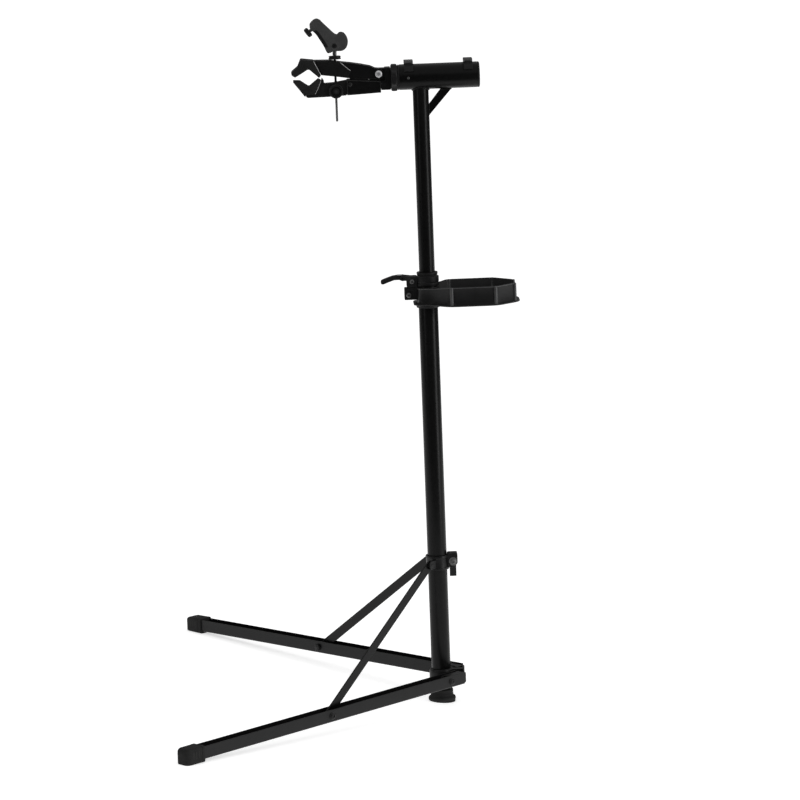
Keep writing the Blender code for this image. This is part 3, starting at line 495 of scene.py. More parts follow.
def build_clip(name, x, body):
    """A dark saddle over the arm and, on it, a grooved rest coloured paler as a painted highlight where its
    top catches the light from above.
    """
    half = 0.0088
    outer, inner = ARM_R + 0.0028, ARM_R + 0.0004
    band = arc((0, 0), outer, 28, 152, 24) + arc((0, 0), inner, 152, 28, 24)
    turn = stand(x, 0, ARM_Z) @ Matrix.Rotation(math.pi / 2, 4, "Z")
    bm = prism(band, -half, half)
    for side in (-1, 1):
        rib = [
            (side * 0.009, 0.0248), (side * 0.0136, 0.023), (side * 0.012, 0.03),
            (side * 0.0096, 0.031),
        ]
        prism(rib, -half * 0.7, half * 0.7, bm)
    add("clip_saddle_" + name, bm, PLASTIC, body, ["rod_clip_" + name], turn, 0.0007, 3)
    groove = arc((0, 0.035), 0.0076, 205, 335, 14)
    rest = [(-0.0124, 0.0262), (0.0124, 0.0262), (0.0122, 0.033), *groove[::-1], (-0.0122, 0.033)]
    add(
        "clip_rest_" + name, prism(rest, -half, half), CLIP_LIT_PLASTIC, body, at=turn, bevel=0.0006,
        segments=3,
    )


# Base
def leg_frame(side):
    turn = Matrix.Rotation(math.pi - side * LEG_ANGLE, 4, "Z")
    return STAND @ Matrix.Translation((LEG_PIVOT.x, side * LEG_PIVOT.y, LEG_PIVOT.z)) @ turn


def channel_outline(width, height, wall, corner):
    """An upright U, with rounded outer corners below."""
    w, h = width / 2, height / 2
    outside = [(-w, h)] + arc((-w + corner, -h + corner), corner, 180, 270, 5)
    outside += arc((w - corner, -h + corner), corner, 270, 360, 5) + [(w, h)]
    inner = corner - wall if corner > wall else 0.0004
    inside = [(w - wall, h)] + arc((w - wall - inner, -h + wall + inner), inner, 0, -90, 3)
    inside += arc((-w + wall + inner, -h + wall + inner), inner, 270, 180, 3) + [(-w + wall, h)]
    return outside + inside


def build_bracket():
    low, high = LEG_PIVOT.z - LEG_H / 2, LEG_PIVOT.z + LEG_H / 2
    bm = tube(HUB_R, LOWER_R + 0.0002, low, high, 0.0012, 72)
    add("bracket_hub", bm, POWDER, "base", ["base_bracket"])
    web = block((0.0215, -0.006, low + 0.0006), (BRACKET_END + 0.001, 0.006, high - 0.0006))
    add("bracket_rib", web, POWDER, "base", bevel=0.0012, segments=3)
    plate_low = (BRACKET_END, -0.0306, low + 0.0002)
    end = block(plate_low, (BRACKET_END + 0.0026, 0.0306, high - 0.0002))
    add("bracket_end", end, POWDER, "base", bevel=0.0011, segments=3)
    half = LEG_W / 2 - LEG_WALL - 0.0008
    tail = BRACKET_TAIL
    for side, name in SIDES:
        at = leg_frame(side)
        end = arc((0, 0), 0.0098, -90, 90, 14)
        outline = [(tail, 0.0098), (tail, -0.0098), *end]
        bm = bmesh.new()
        for s in (-1, 1):
            inner, outer = sorted((s * half, s * (half - 0.0025)))
            prism(outline, inner, outer, bm)
        roof = [(tail + 0.001, 0.0068), (0.0, 0.0068), (0.0, 0.0097), (tail + 0.001, 0.0097)]
        prism(roof, -half, half, bm)
        add("bracket_arm_" + name, bm, POWDER, "base", at=at, bevel=0.0008)
    weld_r = 0.0237
    ring = []
    for i in range(60):
        angle = 2 * math.pi * i / 60
        x, y = weld_r * math.cos(angle), weld_r * math.sin(angle)
        ring.append((x * 0.86, y * 0.86, high + 0.0002))
    bead("hub_weld_top", ring, 0.0014, POWDER, "base")


def through_bolt(name, nodes, side, at, half, body):
    """A socket-head bolt from the outer side, with its washer, and the nut on the inner side."""
    # In a leg's frame, +Y faces out on the near side and in on the far side.
    outward = TO_NEAR if side > 0 else TO_FAR
    washer = [(0.0, 0.0003), (0.007, 0.0003), (0.007, 0.001), (0.0, 0.001)]
    bm = lathe(washer, 36, matrix=Matrix.Translation((0, 0, half)))
    socket_head(0.0063, 0.003, bm, Matrix.Translation((0, 0, half + 0.0009)))
    tip = -half - 0.0052
    lathe(
        [(0.0, half), (0.0036, half), (0.0036, tip), (0.003, tip - 0.0004), (0.0, tip - 0.0004)], 24, bm,
    )
    add(name + "_bolt", bm, DARK_STEEL, body, [nodes[0]], at @ outward)
    nut = hex_nut(0.007, 0.0045, 0.0038, matrix=Matrix.Translation((0, 0, -half - 0.005)))
    add(name + "_nut", nut, DARK_STEEL, body, [nodes[1]], at @ outward, 0.0003)


def build_leg(side, name):
    body = "leg_" + name
    at = leg_frame(side)
    outline = channel_outline(LEG_W, LEG_H, LEG_WALL, 0.0032)
    rings = []
    stations = [-LEG_TAIL, -LEG_TAIL + 0.0008] + [BRACE_AT * k / 4 for k in range(9)] + [
        LEG_LENGTH - 0.006,
    ]
    for x in stations:
        rings.append([Vector((x, y, z)) for y, z in outline])
    bm = loft(rings)
    add("leg_channel_" + name, bm, POWDER, body, ["leg_" + name], at, 0.0004, 2, angle=30)
    hinge = ["leg_pivot_bolt_" + name, "leg_pivot_nut_" + name]
    through_bolt("leg_hinge_" + name, hinge, side, at, LEG_W / 2, "base")
    brace_at = at @ Matrix.Translation((BRACE_AT, 0, 0))
    hinge = ["brace_bolt_" + name, "brace_nut_" + name]
    through_bolt("brace_hinge_" + name, hinge, side, brace_at, LEG_W / 2, body)
    build_leg_cap(side, name, body)
    build_brace(side, name, at)


def build_leg_cap(side, name, body):
    """The rubber boot over the leg's end, with a rounded mouth band and a ribbed sole flat on the floor."""
    at = leg_frame(side)
    start, end = LEG_LENGTH - CAP_LENGTH, LEG_LENGTH - 0.0001
    w, top, low = LEG_W / 2 + 0.0029, LEG_H / 2 + 0.003, -LEG_H / 2 - 0.0046
    inverse = at.inverted()
    floor_normal = inverse.to_3x3() @ Vector((0, 0, 1))
    floor_point = inverse @ Vector((0, 0, 0))

    def section(x, grow):
        """The boot's section, whose two lower corners come down to the floor."""
        made = []
        corners = [(-w - grow, low), (w + grow, low), (w + grow, top + grow), (-w - grow, top + grow)]
        for y, z in soften(corners, 0.0048, 5):
            rise = floor_normal.x * (x - floor_point.x) + floor_normal.y * (y - floor_point.y)
            floor = floor_point.z - rise / floor_normal.z
            made.append((x, y, max(z, floor + 0.0002)))
        return made

    grows = [
        (start, -0.0022), (start + 0.0004, -0.0009), (start + 0.0014, 0.0), (start + 0.007, 0.0),
        (start + 0.0078, -0.0008), (start + 0.009, -0.0008), (start + 0.0098, -0.0002),
        (end - 0.01, -0.0003),
        (end - 0.006, -0.0012), (end - 0.003, -0.0026), (end - 0.001, -0.0044), (end, -0.0068),
    ]
    bm = loft([section(x, grow) for x, grow in grows])
    for k in range(3):
        for s in (-1, 1):
            x = start + 0.015 + 0.0072 * k
            low_y, high_y = sorted((s * w, s * (w - 0.002)))
            block((x, low_y, -0.006), (x + 0.003, high_y, 0.0075), bm)
    add("boot_" + name, bm, RUBBER, body, ["leg_cap_" + name], at, 0.0003)


def build_brace(side, name, leg_at):
    body = "brace_" + name
    out = Vector((-math.cos(LEG_ANGLE), side * math.sin(LEG_ANGLE), 0))
    across = Vector((-out.y, out.x, 0))
    pivot = Vector((LEG_PIVOT.x, side * LEG_PIVOT.y, LEG_PIVOT.z))
    top = Vector((-BRACE_TOP.x, side * BRACE_TOP.y, BRACE_TOP.z)) - pivot
    run = Vector((top.dot(out) - BRACE_AT, top.dot(across), top.z))
    yaw = math.atan2(run.y, run.x)
    rise = math.atan2(run.z, math.hypot(run.x, run.y))
    aim = Matrix.Rotation(yaw, 4, "Z") @ Matrix.Rotation(-rise, 4, "Y")
    at = leg_at @ Matrix.Translation((BRACE_AT, 0, 0)) @ aim
    radius = BRACE_W / 2
    length = run.length
    outline = arc((0, 0), radius, 90, 270, 18) + arc((length, 0), radius, -90, 90, 18)
    bar = prism(outline, -BRACE_T / 2, BRACE_T / 2)
    add("brace_bar_" + name, bar, ARM_PAINT, body, ["brace_" + name], at, 0.0007, 3)
    pin_at = at @ Matrix.Translation((length, 0, 0)) @ (TO_NEAR if side > 0 else TO_FAR).inverted()
    bm = lathe(
        [
            (0.0, 0.004), (0.0024, 0.0038), (0.0042, 0.003), (0.0052, 0.0018), (0.0052, 0.0013),
            (0.0, 0.0013),
        ],
        36,
    )
    add("brace_rivet_" + name, bm, DARK_STEEL, body, ["brace_pin_" + name], pin_at)


def build_collar():
    body = "collar"
    half = COLLAR_H / 2
    top = half - 0.0095
    profile = soften(
        [
            (COLLAR_R, top), (COLLAR_R, top - 0.005), (COLLAR_R - 0.0008, top - 0.0058),
            (COLLAR_R - 0.0008, -half + 0.0058), (COLLAR_R, -half + 0.005), (COLLAR_R, -half),
            (LOWER_R + 0.0002, -half), (LOWER_R + 0.0002, top),
        ],
        0.0009,
    )
    at = stand(0, 0, COLLAR_Z)
    add("collar_ring", lathe(profile, 80, closed=True), POWDER, body, ["brace_collar"], at)
    for side, name in SIDES:
        out = Vector((-math.cos(LEG_ANGLE), side * math.sin(LEG_ANGLE), 0))
        foot = Vector((LEG_PIVOT.x, side * LEG_PIVOT.y, LEG_PIVOT.z)) + out * BRACE_AT
        top = Vector((-BRACE_TOP.x, side * BRACE_TOP.y, BRACE_TOP.z))
        along = foot - top
        lug_at = stand(top.x, top.y, top.z, math.atan2(along.y, along.x))
        near, far = -side * 0.0037, -side * 0.0067
        outline = [(-0.015, -0.0085), (-0.015, 0.0085)] + arc((-0.0015, 0), 0.0085, 90, -90, 14)
        bm = prism(outline, min(near, far), max(near, far))
        add("collar_lug_" + name, bm, POWDER, body, at=lug_at, bevel=0.0006)
        rivet_at = lug_at @ Matrix.Translation((0.0, far, 0)) @ (TO_NEAR if side > 0 else TO_FAR)
        rivet = lathe(
            [(0.0, 0.002), (0.0022, 0.0018), (0.0036, 0.0008), (0.004, 0.0), (0.0, -0.0004)], 30,
        )
        add("lug_rivet_" + name, rivet, DARK_STEEL, body, at=rivet_at)
        ear = soften(
            [(0.0195, 0.0165), (0.0195, -0.0125), (0.033, -0.0112), (0.0398, -0.004), (0.0398, 0.0165)],
            0.0028,
        )
        low, high = sorted((side * 0.003, side * 0.011))
        ear_at = stand(0, 0, COLLAR_LEVER.z)
        add(
            "collar_ear_" + name, prism(ear, low, high), POWDER, body, at=ear_at, bevel=0.001,
            segments=3,
        )
    bolt_at = stand(COLLAR_LEVER.x, 0, COLLAR_LEVER.z) @ TO_NEAR
    bm = lathe([(0.0, 0.0113), (0.0082, 0.0113), (0.0084, 0.0117), (0.0082, 0.0123), (0.0, 0.0123)], 40)
    socket_head(0.0056, 0.0029, bm, Matrix.Translation((0, 0, 0.0122)))
    lathe([(0.0, 0.012), (0.003, 0.012), (0.003, -0.0112), (0.0, -0.0112)], 24, bm)
    add("quick_release_bolt", bm, ROD_STEEL, body, ["collar_bolt"], bolt_at)
    outline = arc((0, 0), 0.0062, 180, 0, 16) + [
        (0.0062, -0.01), (0.005, -0.017), (0.004, -0.026), (0.0042, -0.034), (0.0026, -0.0354),
        (-0.0008, -0.0352), (-0.0018, -0.03), (-0.0026, -0.021), (-0.0052, -0.013),
        (-0.0062, -0.008),
    ]
    lever_at = stand(COLLAR_LEVER.x, COLLAR_LEVER.y, COLLAR_LEVER.z) @ Matrix.Rotation(
        math.pi / 2, 4, "Z",
    )
    bm = prism(outline, -0.0065, 0.0065)
    for s in (-1, 1):
        lathe([(0.0, 0.0), (0.0026, 0.0), (0.0024, 0.0006), (0.0, 0.0006)], 20, bm,
              Matrix.Translation((0, s * 0.0062, 0)) @ (TO_FAR if s > 0 else TO_NEAR))
    add("collar_quick_lever", bm, PLASTIC, "collar_lever", ["collar_lever"], lever_at, 0.001, 3)


def build_height_clamp():
    body = "base"
    profile = soften(
        [
            (0.0206, CLAMP_TOP), (0.0206, CLAMP_TOP - 0.0045), (0.0193, CLAMP_TOP - 0.0052),
            (0.0198, CLAMP_TOP - 0.0068), (0.0226, CLAMP_TOP - 0.0082), (0.0226, CLAMP_BOTTOM + 0.0085),
            (0.022, CLAMP_BOTTOM + 0.0078), (0.022, CLAMP_BOTTOM + 0.0062),
            (0.0226, CLAMP_BOTTOM + 0.0055),
            (0.0226, CLAMP_BOTTOM), (LOWER_R + 0.0002, CLAMP_BOTTOM),
            (LOWER_R + 0.0002, LOWER_TOP + 0.0004),
            (UPPER_R + 0.0003, LOWER_TOP + 0.0004), (UPPER_R + 0.0003, CLAMP_TOP),
        ],
        0.0008,
    )
    add("clamp_shell", lathe(profile, 96, closed=True), PLASTIC, body, ["height_clamp_body"])
    for side, name in SIDES:
        low, high = sorted((side * 0.0013, side * 0.0113))
        ear = [
            (-0.041, CLAMP_BOTTOM - 0.0018), (-0.02, CLAMP_BOTTOM - 0.0018),
            (-0.02, CLAMP_TOP - 0.0068),
            (-0.041, CLAMP_TOP - 0.007),
        ]
        add("clamp_ear_" + name, prism(soften(ear, 0.003, 4), low, high), PLASTIC, body, bevel=0.0008)
        low, high = sorted((side * 0.0086, side * 0.0114))
        cheek = arc((HEIGHT_LEVER.x, HEIGHT_LEVER.z), 0.005, 90, 270, 16)
        cheek += [(-0.034, HEIGHT_LEVER.z - 0.005), (-0.034, HEIGHT_LEVER.z + 0.0034)]
        add("clamp_cheek_" + name, prism(cheek, low, high), DARK_STEEL, body, bevel=0.0005)
    bolt_at = stand(-0.0305, 0, 0.8405) @ TO_NEAR
    bm = socket_head(0.0047, 0.0032, matrix=Matrix.Translation((0, 0, 0.0114)), steps=30)
    lathe([(0.0, 0.0116), (0.0025, 0.0116), (0.0025, -0.0118), (0.0, -0.0118)], 24, bm)
    add("clamp_screw", bm, ROD_STEEL, body, ["clamp_bolt"], bolt_at)
    pin = lathe(
        [
            (0.0, 0.0114), (0.0016, 0.0114), (0.002, 0.011), (0.002, -0.011), (0.0016, -0.0114),
            (0.0, -0.0114),
        ],
        24,
    )
    add("lever_pin", pin, ZINC, body, ["height_lever_pin"], stand(*HEIGHT_LEVER) @ TO_NEAR)
    upper = [
        (-0.004, 0.0058), (-0.012, 0.0056), (-0.0205, 0.0043), (-0.03, 0.0012), (-0.0385, -0.0018),
        (-0.042, -0.0035),
    ]
    lower = [
        (-0.0432, -0.006), (-0.043, -0.0098), (-0.0405, -0.0112), (-0.037, -0.0108),
        (-0.027, -0.007), (-0.017, -0.0036), (-0.007, -0.0034),
    ]
    outline = arc((0, 0), 0.006, -120, 95, 18) + upper + lower
    bm = prism(outline, -0.0076, 0.0076)
    lever_at = stand(*HEIGHT_LEVER)
    add("quick_lever", bm, PLASTIC, "height_lever", ["height_lever"], lever_at, 0.0013, 3)
    plate = [(-0.002, 0.0058), (-0.011, 0.0058), (-0.011, 0.0063), (-0.002, 0.0063)]
    add("lever_link", prism(plate, -0.006, 0.006), ZINC, "height_lever", at=lever_at, bevel=0.0002)


# Tray
TRAY_HALF = ((-0.02, 0.027), (0.008, 0.033), (0.043, 0.064), (0.131, 0.064), (0.17, 0.026))


def tray_loop(grow, height, radius):
    """The tray's rounded plan, its sides moved out by grow."""
    points = [Vector((x, -y)) for x, y in TRAY_HALF] + [Vector(p) for p in TRAY_HALF[::-1]]
    count = len(points)
    moved = []
    for i, here in enumerate(points):
        first = (here - points[i - 1]).normalized()
        second = (points[(i + 1) % count] - here).normalized()
        out_first = Vector((first.y, -first.x))
        out_second = Vector((second.y, -second.x))
        middle = (out_first + out_second).normalized()
        moved.append(here + middle * grow / max(0.3, middle.dot(out_first)))
    rounded = soften([tuple(p) for p in moved], radius, 6)
    return [Vector((x, y, height(x) if callable(height) else height)) for x, y in rounded]


def rim(lift):
    """The rim runs a little lower where the neck passes under the mast's clamp."""
    return lambda x: TRAY_H + lift - 0.0042 * min(1.0, max(0.0, (0.026 - x) / 0.014))


def build_tray():
    body = "tray"
    at = stand(0, 0, TRAY_BOTTOM)
    loops = [
        tray_loop(-0.004, 0.0003, 0.01), tray_loop(0.007, 0.0003, 0.014),
        tray_loop(0.0086, 0.0008, 0.015),
        tray_loop(0.0088, 0.0022, 0.015), tray_loop(0.0082, 0.003, 0.015),
        tray_loop(0.0024, 0.003, 0.011),
        tray_loop(0.0008, 0.0042, 0.01), tray_loop(0.0, 0.008, 0.01),
        tray_loop(-0.0006, rim(-0.0035), 0.009),
        tray_loop(0.0002, rim(-0.0022), 0.01), tray_loop(0.0004, rim(-0.0008), 0.01),
        tray_loop(-0.0006, rim(0.0), 0.009),
        tray_loop(-0.0018, rim(-0.0001), 0.009), tray_loop(-0.0026, rim(-0.001), 0.008),
        tray_loop(-0.003, 0.008, 0.008), tray_loop(-0.0042, 0.0046, 0.007),
        tray_loop(-0.007, 0.0032, 0.006),
    ]
    add("tray_tub", loft(loops), TRAY_PLASTIC, body, ["tool_tray"], at, angle=40)
    # Lighter beads along the rim and the flange's edge: painted highlights.
    for name, loop, radius in (
        ("tray_rim_glint", tray_loop(0.0, rim(-0.0014), 0.01), 0.0008),
        ("tray_flange_glint", tray_loop(0.0076, 0.0021, 0.015), 0.0009),
    ):
        bead(name, [(x, y, z + TRAY_BOTTOM) for x, y, z in loop], radius, TRAY_HIGHLIGHT, body)
    neck = tube(0.023, LOWER_R + 0.0003, -0.007, 0.0337, 0.0008, 72)
    add("tray_neck", neck, PLASTIC, body, at=at)
    for angle in (-52, -26, 26, 52):
        rib_at = at @ Matrix.Rotation(math.radians(angle), 4, "Z")
        rib = [(0.0225, 0.003), (0.039, 0.003), (0.0255, 0.028), (0.0225, 0.028)]
        add(
            "tray_rib_%d" % (angle + 90), prism(rib, -0.001, 0.001), TRAY_PLASTIC, body, at=rib_at,
            bevel=0.0004,
        )
    for i, (x, y) in enumerate(TRAY_HALF[2:]):
        for side, name in SIDES:
            # The corner posts take the lighter edge colour: a painted highlight down the tray's corners.
            post = [
                (0.0, TRAY_H - 0.0002), (0.0026, TRAY_H - 0.0003), (0.0034, TRAY_H - 0.0012),
                (0.0036, 0.004),
                (0.0044, 0.0028), (0.0, 0.0028),
            ]
            inset = 0.0012
            post_at = at @ Matrix.Translation((x - math.copysign(inset, x - 0.08), side * (y - inset), 0))
            add("tray_post_%d_%s" % (i, name), lathe(post, 24), TRAY_HIGHLIGHT, body, at=post_at)
    block_bm = block((-0.0458, -0.0108, 0.0092), (-0.0196, 0.0108, 0.0328))
    add("tray_grip", block_bm, PLASTIC, body, ["tray_clamp_block"], at, 0.002, 4)
    bolt_at = at @ Matrix.Translation((-0.0375, 0, 0.019)) @ TO_NEAR
    bm = socket_head(0.0052, 0.004, matrix=Matrix.Translation((0, 0, 0.0111)))
    lathe([(0.0, 0.0113), (0.003, 0.0113), (0.003, -0.0112), (0.0, -0.0112)], 24, bm)
    add("tray_screw", bm, ROD_STEEL, body, ["tray_clamp_bolt"], bolt_at)


# Clamp head
def from_pivot(points):
    """Jaw outlines are given from the arm's axis height."""
    return [(x - JAW_PIVOT.x, z + ARM_Z - JAW_PIVOT.z) for x, z in points]


def build_lock_ring():
    at = stand(0, 0, ARM_Z) @ TO_X
    steps = 160

    def loop(base, swell, x):
        made = []
        for i in range(steps):
            angle = 2 * math.pi * i / steps
            wave = 0.5 + 0.5 * math.cos(8 * (angle + math.pi / 8))
            radius = base + swell * wave ** 1.6
            made.append(Vector((radius * math.cos(angle), radius * math.sin(angle), x)))
        return made

    loops = [
        loop(0.0152, 0.0, -0.0441), loop(0.0228, 0.0, -0.0441), loop(0.024, 0.0006, -0.0444),
        loop(0.0244, 0.0026, -0.0458),
        loop(0.0246, 0.003, -0.0478), loop(0.0246, 0.003, -0.0538), loop(0.0244, 0.0026, -0.0556),
        loop(0.024, 0.0006, -0.0568), loop(0.0228, 0.0, -0.0571), loop(0.0152, 0.0, -0.0571),
        loop(0.0152, 0.0, -0.0441),
    ]
    add("lock_collar", loft(loops, cap=False), PLASTIC, "lock_ring", ["lock_ring"], at, angle=50)


def build_head():
    body = "head"
    along = stand(0, 0, ARM_Z) @ TO_X
    add("spin_shaft", tube(SHAFT_R, 0.0115, -0.064, 0.105), DARK_STEEL, body, ["head_shaft"], along)
    centre = stand(0, 0, ARM_Z)
    outline = [
        (-0.0764, -0.0221), (-0.0577, -0.0221), (-0.0577, 0.0206), (-0.0689, 0.0206), (-0.0689, -0.0046),
        (-0.0764, -0.0046),
    ]
    outline = soften(outline, 0.0014, 3)
    add("head_face", prism(outline, -0.0163, 0.0163), POWDER, body, ["head_block"], centre, 0.0014, 3)
    pivot = stand(*JAW_PIVOT)
    tongue = [(0.0125, 0.0105), (0.0125, -0.0145), (0.0035, -0.0145)] + arc((0, 0), 0.0105, 270, 90, 20)
    add("head_tongue", prism(tongue, -0.011, 0.011), POWDER, body, at=pivot, bevel=0.0006)
    screw = lathe(
        [
            (0.0, 0.0166), (0.003, 0.0166), (0.003, 0.0192), (0.0034, 0.0197), (0.0056, 0.0196),
            (0.0064, 0.019),
            (0.0069, 0.0178), (0.0069, 0.0153), (0.004, 0.0153), (0.004, -0.0196), (0.0036, -0.02),
            (0.0, -0.02),
        ],
        48,
    )
    add("pivot_screw", screw, ZINC, body, ["jaw_pivot_screw"], pivot @ TO_NEAR)
    nut = hex_nut(0.0077, 0.0043, 0.004, matrix=Matrix.Translation((0, 0, -0.0196)))
    add("pivot_nut", nut, DARK_STEEL, body, ["jaw_pivot_nut"], pivot @ TO_NEAR, 0.0003)
    build_lower_jaw(body, pivot)


def build_lower_jaw(body, pivot):
    for side, name in SIDES:
        low, high = sorted((side * 0.013, side * 0.015))
        wall = from_pivot([(-0.0768, -0.027), (-0.0768, -0.004), (-0.1425, 0.0002), (-0.1425, -0.03)])
        add(
            "channel_wall_" + name, prism(soften(wall, 0.0014, 3), low, high), ARM_PAINT, body, at=pivot,
            bevel=0.0004,
        )
    floor = from_pivot([(-0.0768, -0.027), (-0.0768, -0.0249), (-0.1425, -0.0279), (-0.1425, -0.03)])
    add(
        "channel_floor", prism(floor, -0.0149, 0.0149), ARM_PAINT, body, ["lower_jaw_channel"], pivot,
        0.0006,
    )
    # A lighter line round the channel wall's edges on both faces: a painted highlight on the folds.
    fold = [
        (-0.078, -0.0052), (-0.1415, -0.001), (-0.1415, -0.0286), (-0.078, -0.0257),
        (-0.078, -0.0052),
    ]
    highlight_strip("channel_fold_glint", fold, body, pivot, 0.0152, FOLD_HIGHLIGHT, 0.0006, 0.0006)
    arm = from_pivot([
        (-0.2225, -0.03), (-0.2188, -0.0325), (-0.1779, -0.0318), (-0.144, -0.0303),
        (-0.1424, -0.0272),
        (-0.095, -0.024), (-0.095, -0.0065), (-0.11, 0.0062), (-0.13, 0.0062), (-0.1362, 0.0005),
        (-0.1456, -0.0018), (-0.169, -0.0052), (-0.1866, -0.006), (-0.1866, -0.001), (-0.1905, 0.005),
        (-0.1919, 0.0), (-0.1985, -0.015), (-0.204, -0.025), (-0.2205, -0.0258),
    ])
    add("lower_arm", prism(arm, -0.0114, 0.0114), DARK_STEEL, body, ["lower_jaw_arm"], pivot, 0.0007)
    pad = from_pivot([
        (-0.2455, 0.0011), (-0.2466, -0.0004), (-0.2335, -0.0175), (-0.2243, -0.0298), (-0.2218, -0.0258),
        (-0.2044, -0.0248), (-0.199, -0.0148), (-0.1927, 0.0002), (-0.1975, 0.0032), (-0.214, -0.0098),
        (-0.2159, -0.0106), (-0.218, -0.01), (-0.2329, 0.0004),
    ])
    add("lower_pad", prism(pad, -0.0189, 0.0189), PAD_RUBBER, body, ["lower_jaw_pad"], pivot, 0.0014, 3)
    # A pale line along the lower pad's seam: a painted highlight.
    seam = [(-0.1927, 0.0002), (-0.199, -0.0148), (-0.2044, -0.0248)]
    highlight_strip("lower_seam_glint", seam, body, pivot, 0.0192, SEAM_HIGHLIGHT, 0.0006)
    rivet_at = stand(-0.1362, 0, ARM_Z - 0.009) @ TO_NEAR
    rivet = lathe(
        [
            (0.0, 0.0174), (0.0022, 0.0171), (0.0036, 0.0162), (0.0041, 0.015), (0.0026, 0.015),
            (0.0026, -0.016), (0.0, -0.016),
        ],
        30,
    )
    add("channel_rivet", rivet, DARK_STEEL, body, ["lower_jaw_rivet"], rivet_at)


def highlight_strip(name, points, body, at, half, finish, width=0.0009, depth=None):
    """A narrow raised line along a jaw's seam or edge, in a pale finish as a painted highlight: right
    through it, or on both faces to a depth.
    """
    line = from_pivot(points)
    bm = bmesh.new()
    for (x0, z0), (x1, z1) in zip(line, line[1:]):
        direction = Vector((x1 - x0, z1 - z0)).normalized()
        side = Vector((-direction.y, direction.x)) * width / 2
        quad = [
            (x0 + side.x, z0 + side.y), (x1 + side.x, z1 + side.y),
            (x1 - side.x, z1 - side.y), (x0 - side.x, z0 - side.y),
        ]
        if depth is None:
            prism(quad, -half, half, bm)
            continue
        prism(quad, half - depth, half, bm)
        prism(quad, -half, depth - half, bm)
    add(name, bm, finish, body, at=at)


def build_upper_jaw():
    body = "upper_jaw"
    at = stand(*JAW_PIVOT)
    top = [
        (-0.2051, 0.0394), (-0.1751, 0.0386), (-0.15, 0.0343), (-0.1345, 0.0323), (-0.115, 0.0288),
        (-0.0961, 0.0246), (-0.0865, 0.02),
    ]
    under = [(-0.1927, 0.0158), (-0.1915, 0.011), (-0.169, 0.008), (-0.1362, 0.003)]
    side_outline = from_pivot(top) + arc((0, 0), 0.0105, 65, -95, 20) + from_pivot(under[::-1])
    for side, name in SIDES:
        low, high = sorted((side * 0.012, side * 0.015))
        add(
            "jaw_cheek_" + name, prism(side_outline, low, high), POWDER, body, at=at, bevel=0.0008,
            segments=3,
        )
    roof = from_pivot(top) + from_pivot([(x, z - 0.0034) for x, z in top[::-1]])
    add("jaw_roof", prism(roof, -0.0148, 0.0148), POWDER, body, ["upper_jaw_arm"], at, 0.0006)
    link = from_pivot([
        (-0.2, 0.038), (-0.18, 0.0372), (-0.1535, 0.0342), (-0.1345, 0.0177), (-0.14, 0.0062),
        (-0.169, 0.0092), (-0.189, 0.0118),
    ])
    for side, name in SIDES:
        low, high = sorted((side * 0.014, side * 0.0156))
        add("jaw_link_plate_" + name, prism(link, low, high), POWDER, body, at=at, bevel=0.0005)
    pad = from_pivot([
        (-0.2057, 0.0396), (-0.229, 0.0426), (-0.231, 0.0418), (-0.2369, 0.0281), (-0.247, 0.02),
        (-0.2496, 0.017), (-0.2485, 0.0125), (-0.2422, 0.0086), (-0.2323, 0.014), (-0.2185, 0.0224),
        (-0.216, 0.023), (-0.2135, 0.0222), (-0.1958, 0.0062), (-0.192, 0.0105), (-0.1931, 0.0158),
    ])
    add("upper_pad", prism(pad, -0.0189, 0.0189), PAD_RUBBER, body, ["upper_jaw_pad"], at, 0.0014, 3)
    # Pale lines along the pad's and the link plate's seams: painted highlights.
    highlight_strip("pad_seam_glint", [(-0.2052, 0.0385), (-0.1935, 0.015)], body, at, 0.0192, SEAM_HIGHLIGHT, 0.0009)
    highlight_strip("link_seam_glint", [(-0.1535, 0.034), (-0.1345, 0.0177)], body, at, 0.0159, SEAM_HIGHLIGHT, 0.0008)


def build_clamp_screw():
    nut_at = stand(*NUT)
    bm = lathe(
        [
            (0.0, -0.0122), (0.0074, -0.0122), (0.0078, -0.0118), (0.0078, 0.0118), (0.0074, 0.0122),
            (0.0, 0.0122),
        ],
        40, matrix=TO_NEAR,
    )
    for side in (-1, 1):
        disc = [
            (0.0, -0.0018), (0.013, -0.0018), (0.0137, -0.001), (0.0137, 0.001), (0.013, 0.0018),
            (0.0102, 0.0018),
            (0.0098, 0.0008), (0.006, 0.0008), (0.0056, 0.002), (0.0, 0.002),
        ]
        turn = TO_NEAR if side < 0 else TO_FAR
        lathe(disc, 48, bm, Matrix.Translation((0, side * 0.014, 0)) @ turn)
    add("barrel_nut", bm, DARK_STEEL, "swivel_nut", ["swivel_nut"], nut_at)
    seat_z = ARM_Z + 0.0396
    seat = [
        (0.006, seat_z + 0.0066), (0.0108, seat_z + 0.0066), (0.0119, seat_z + 0.0058),
        (0.0119, seat_z + 0.0044),
        (0.0109, seat_z + 0.0038), (0.0112, seat_z + 0.003), (0.0122, seat_z + 0.0018),
        (0.0125, seat_z + 0.0012),
        (0.011, seat_z + 0.0003), (0.007, seat_z), (0.0029, seat_z), (0.0029, seat_z + 0.0066),
    ]
    add(
        "cam_saddle", lathe(seat, 56, closed=True), DARK_STEEL, "rod_carriage", ["cam_seat"],
        stand(NUT.x, 0, 0),
    )
    build_rod()
    build_cam_lever()


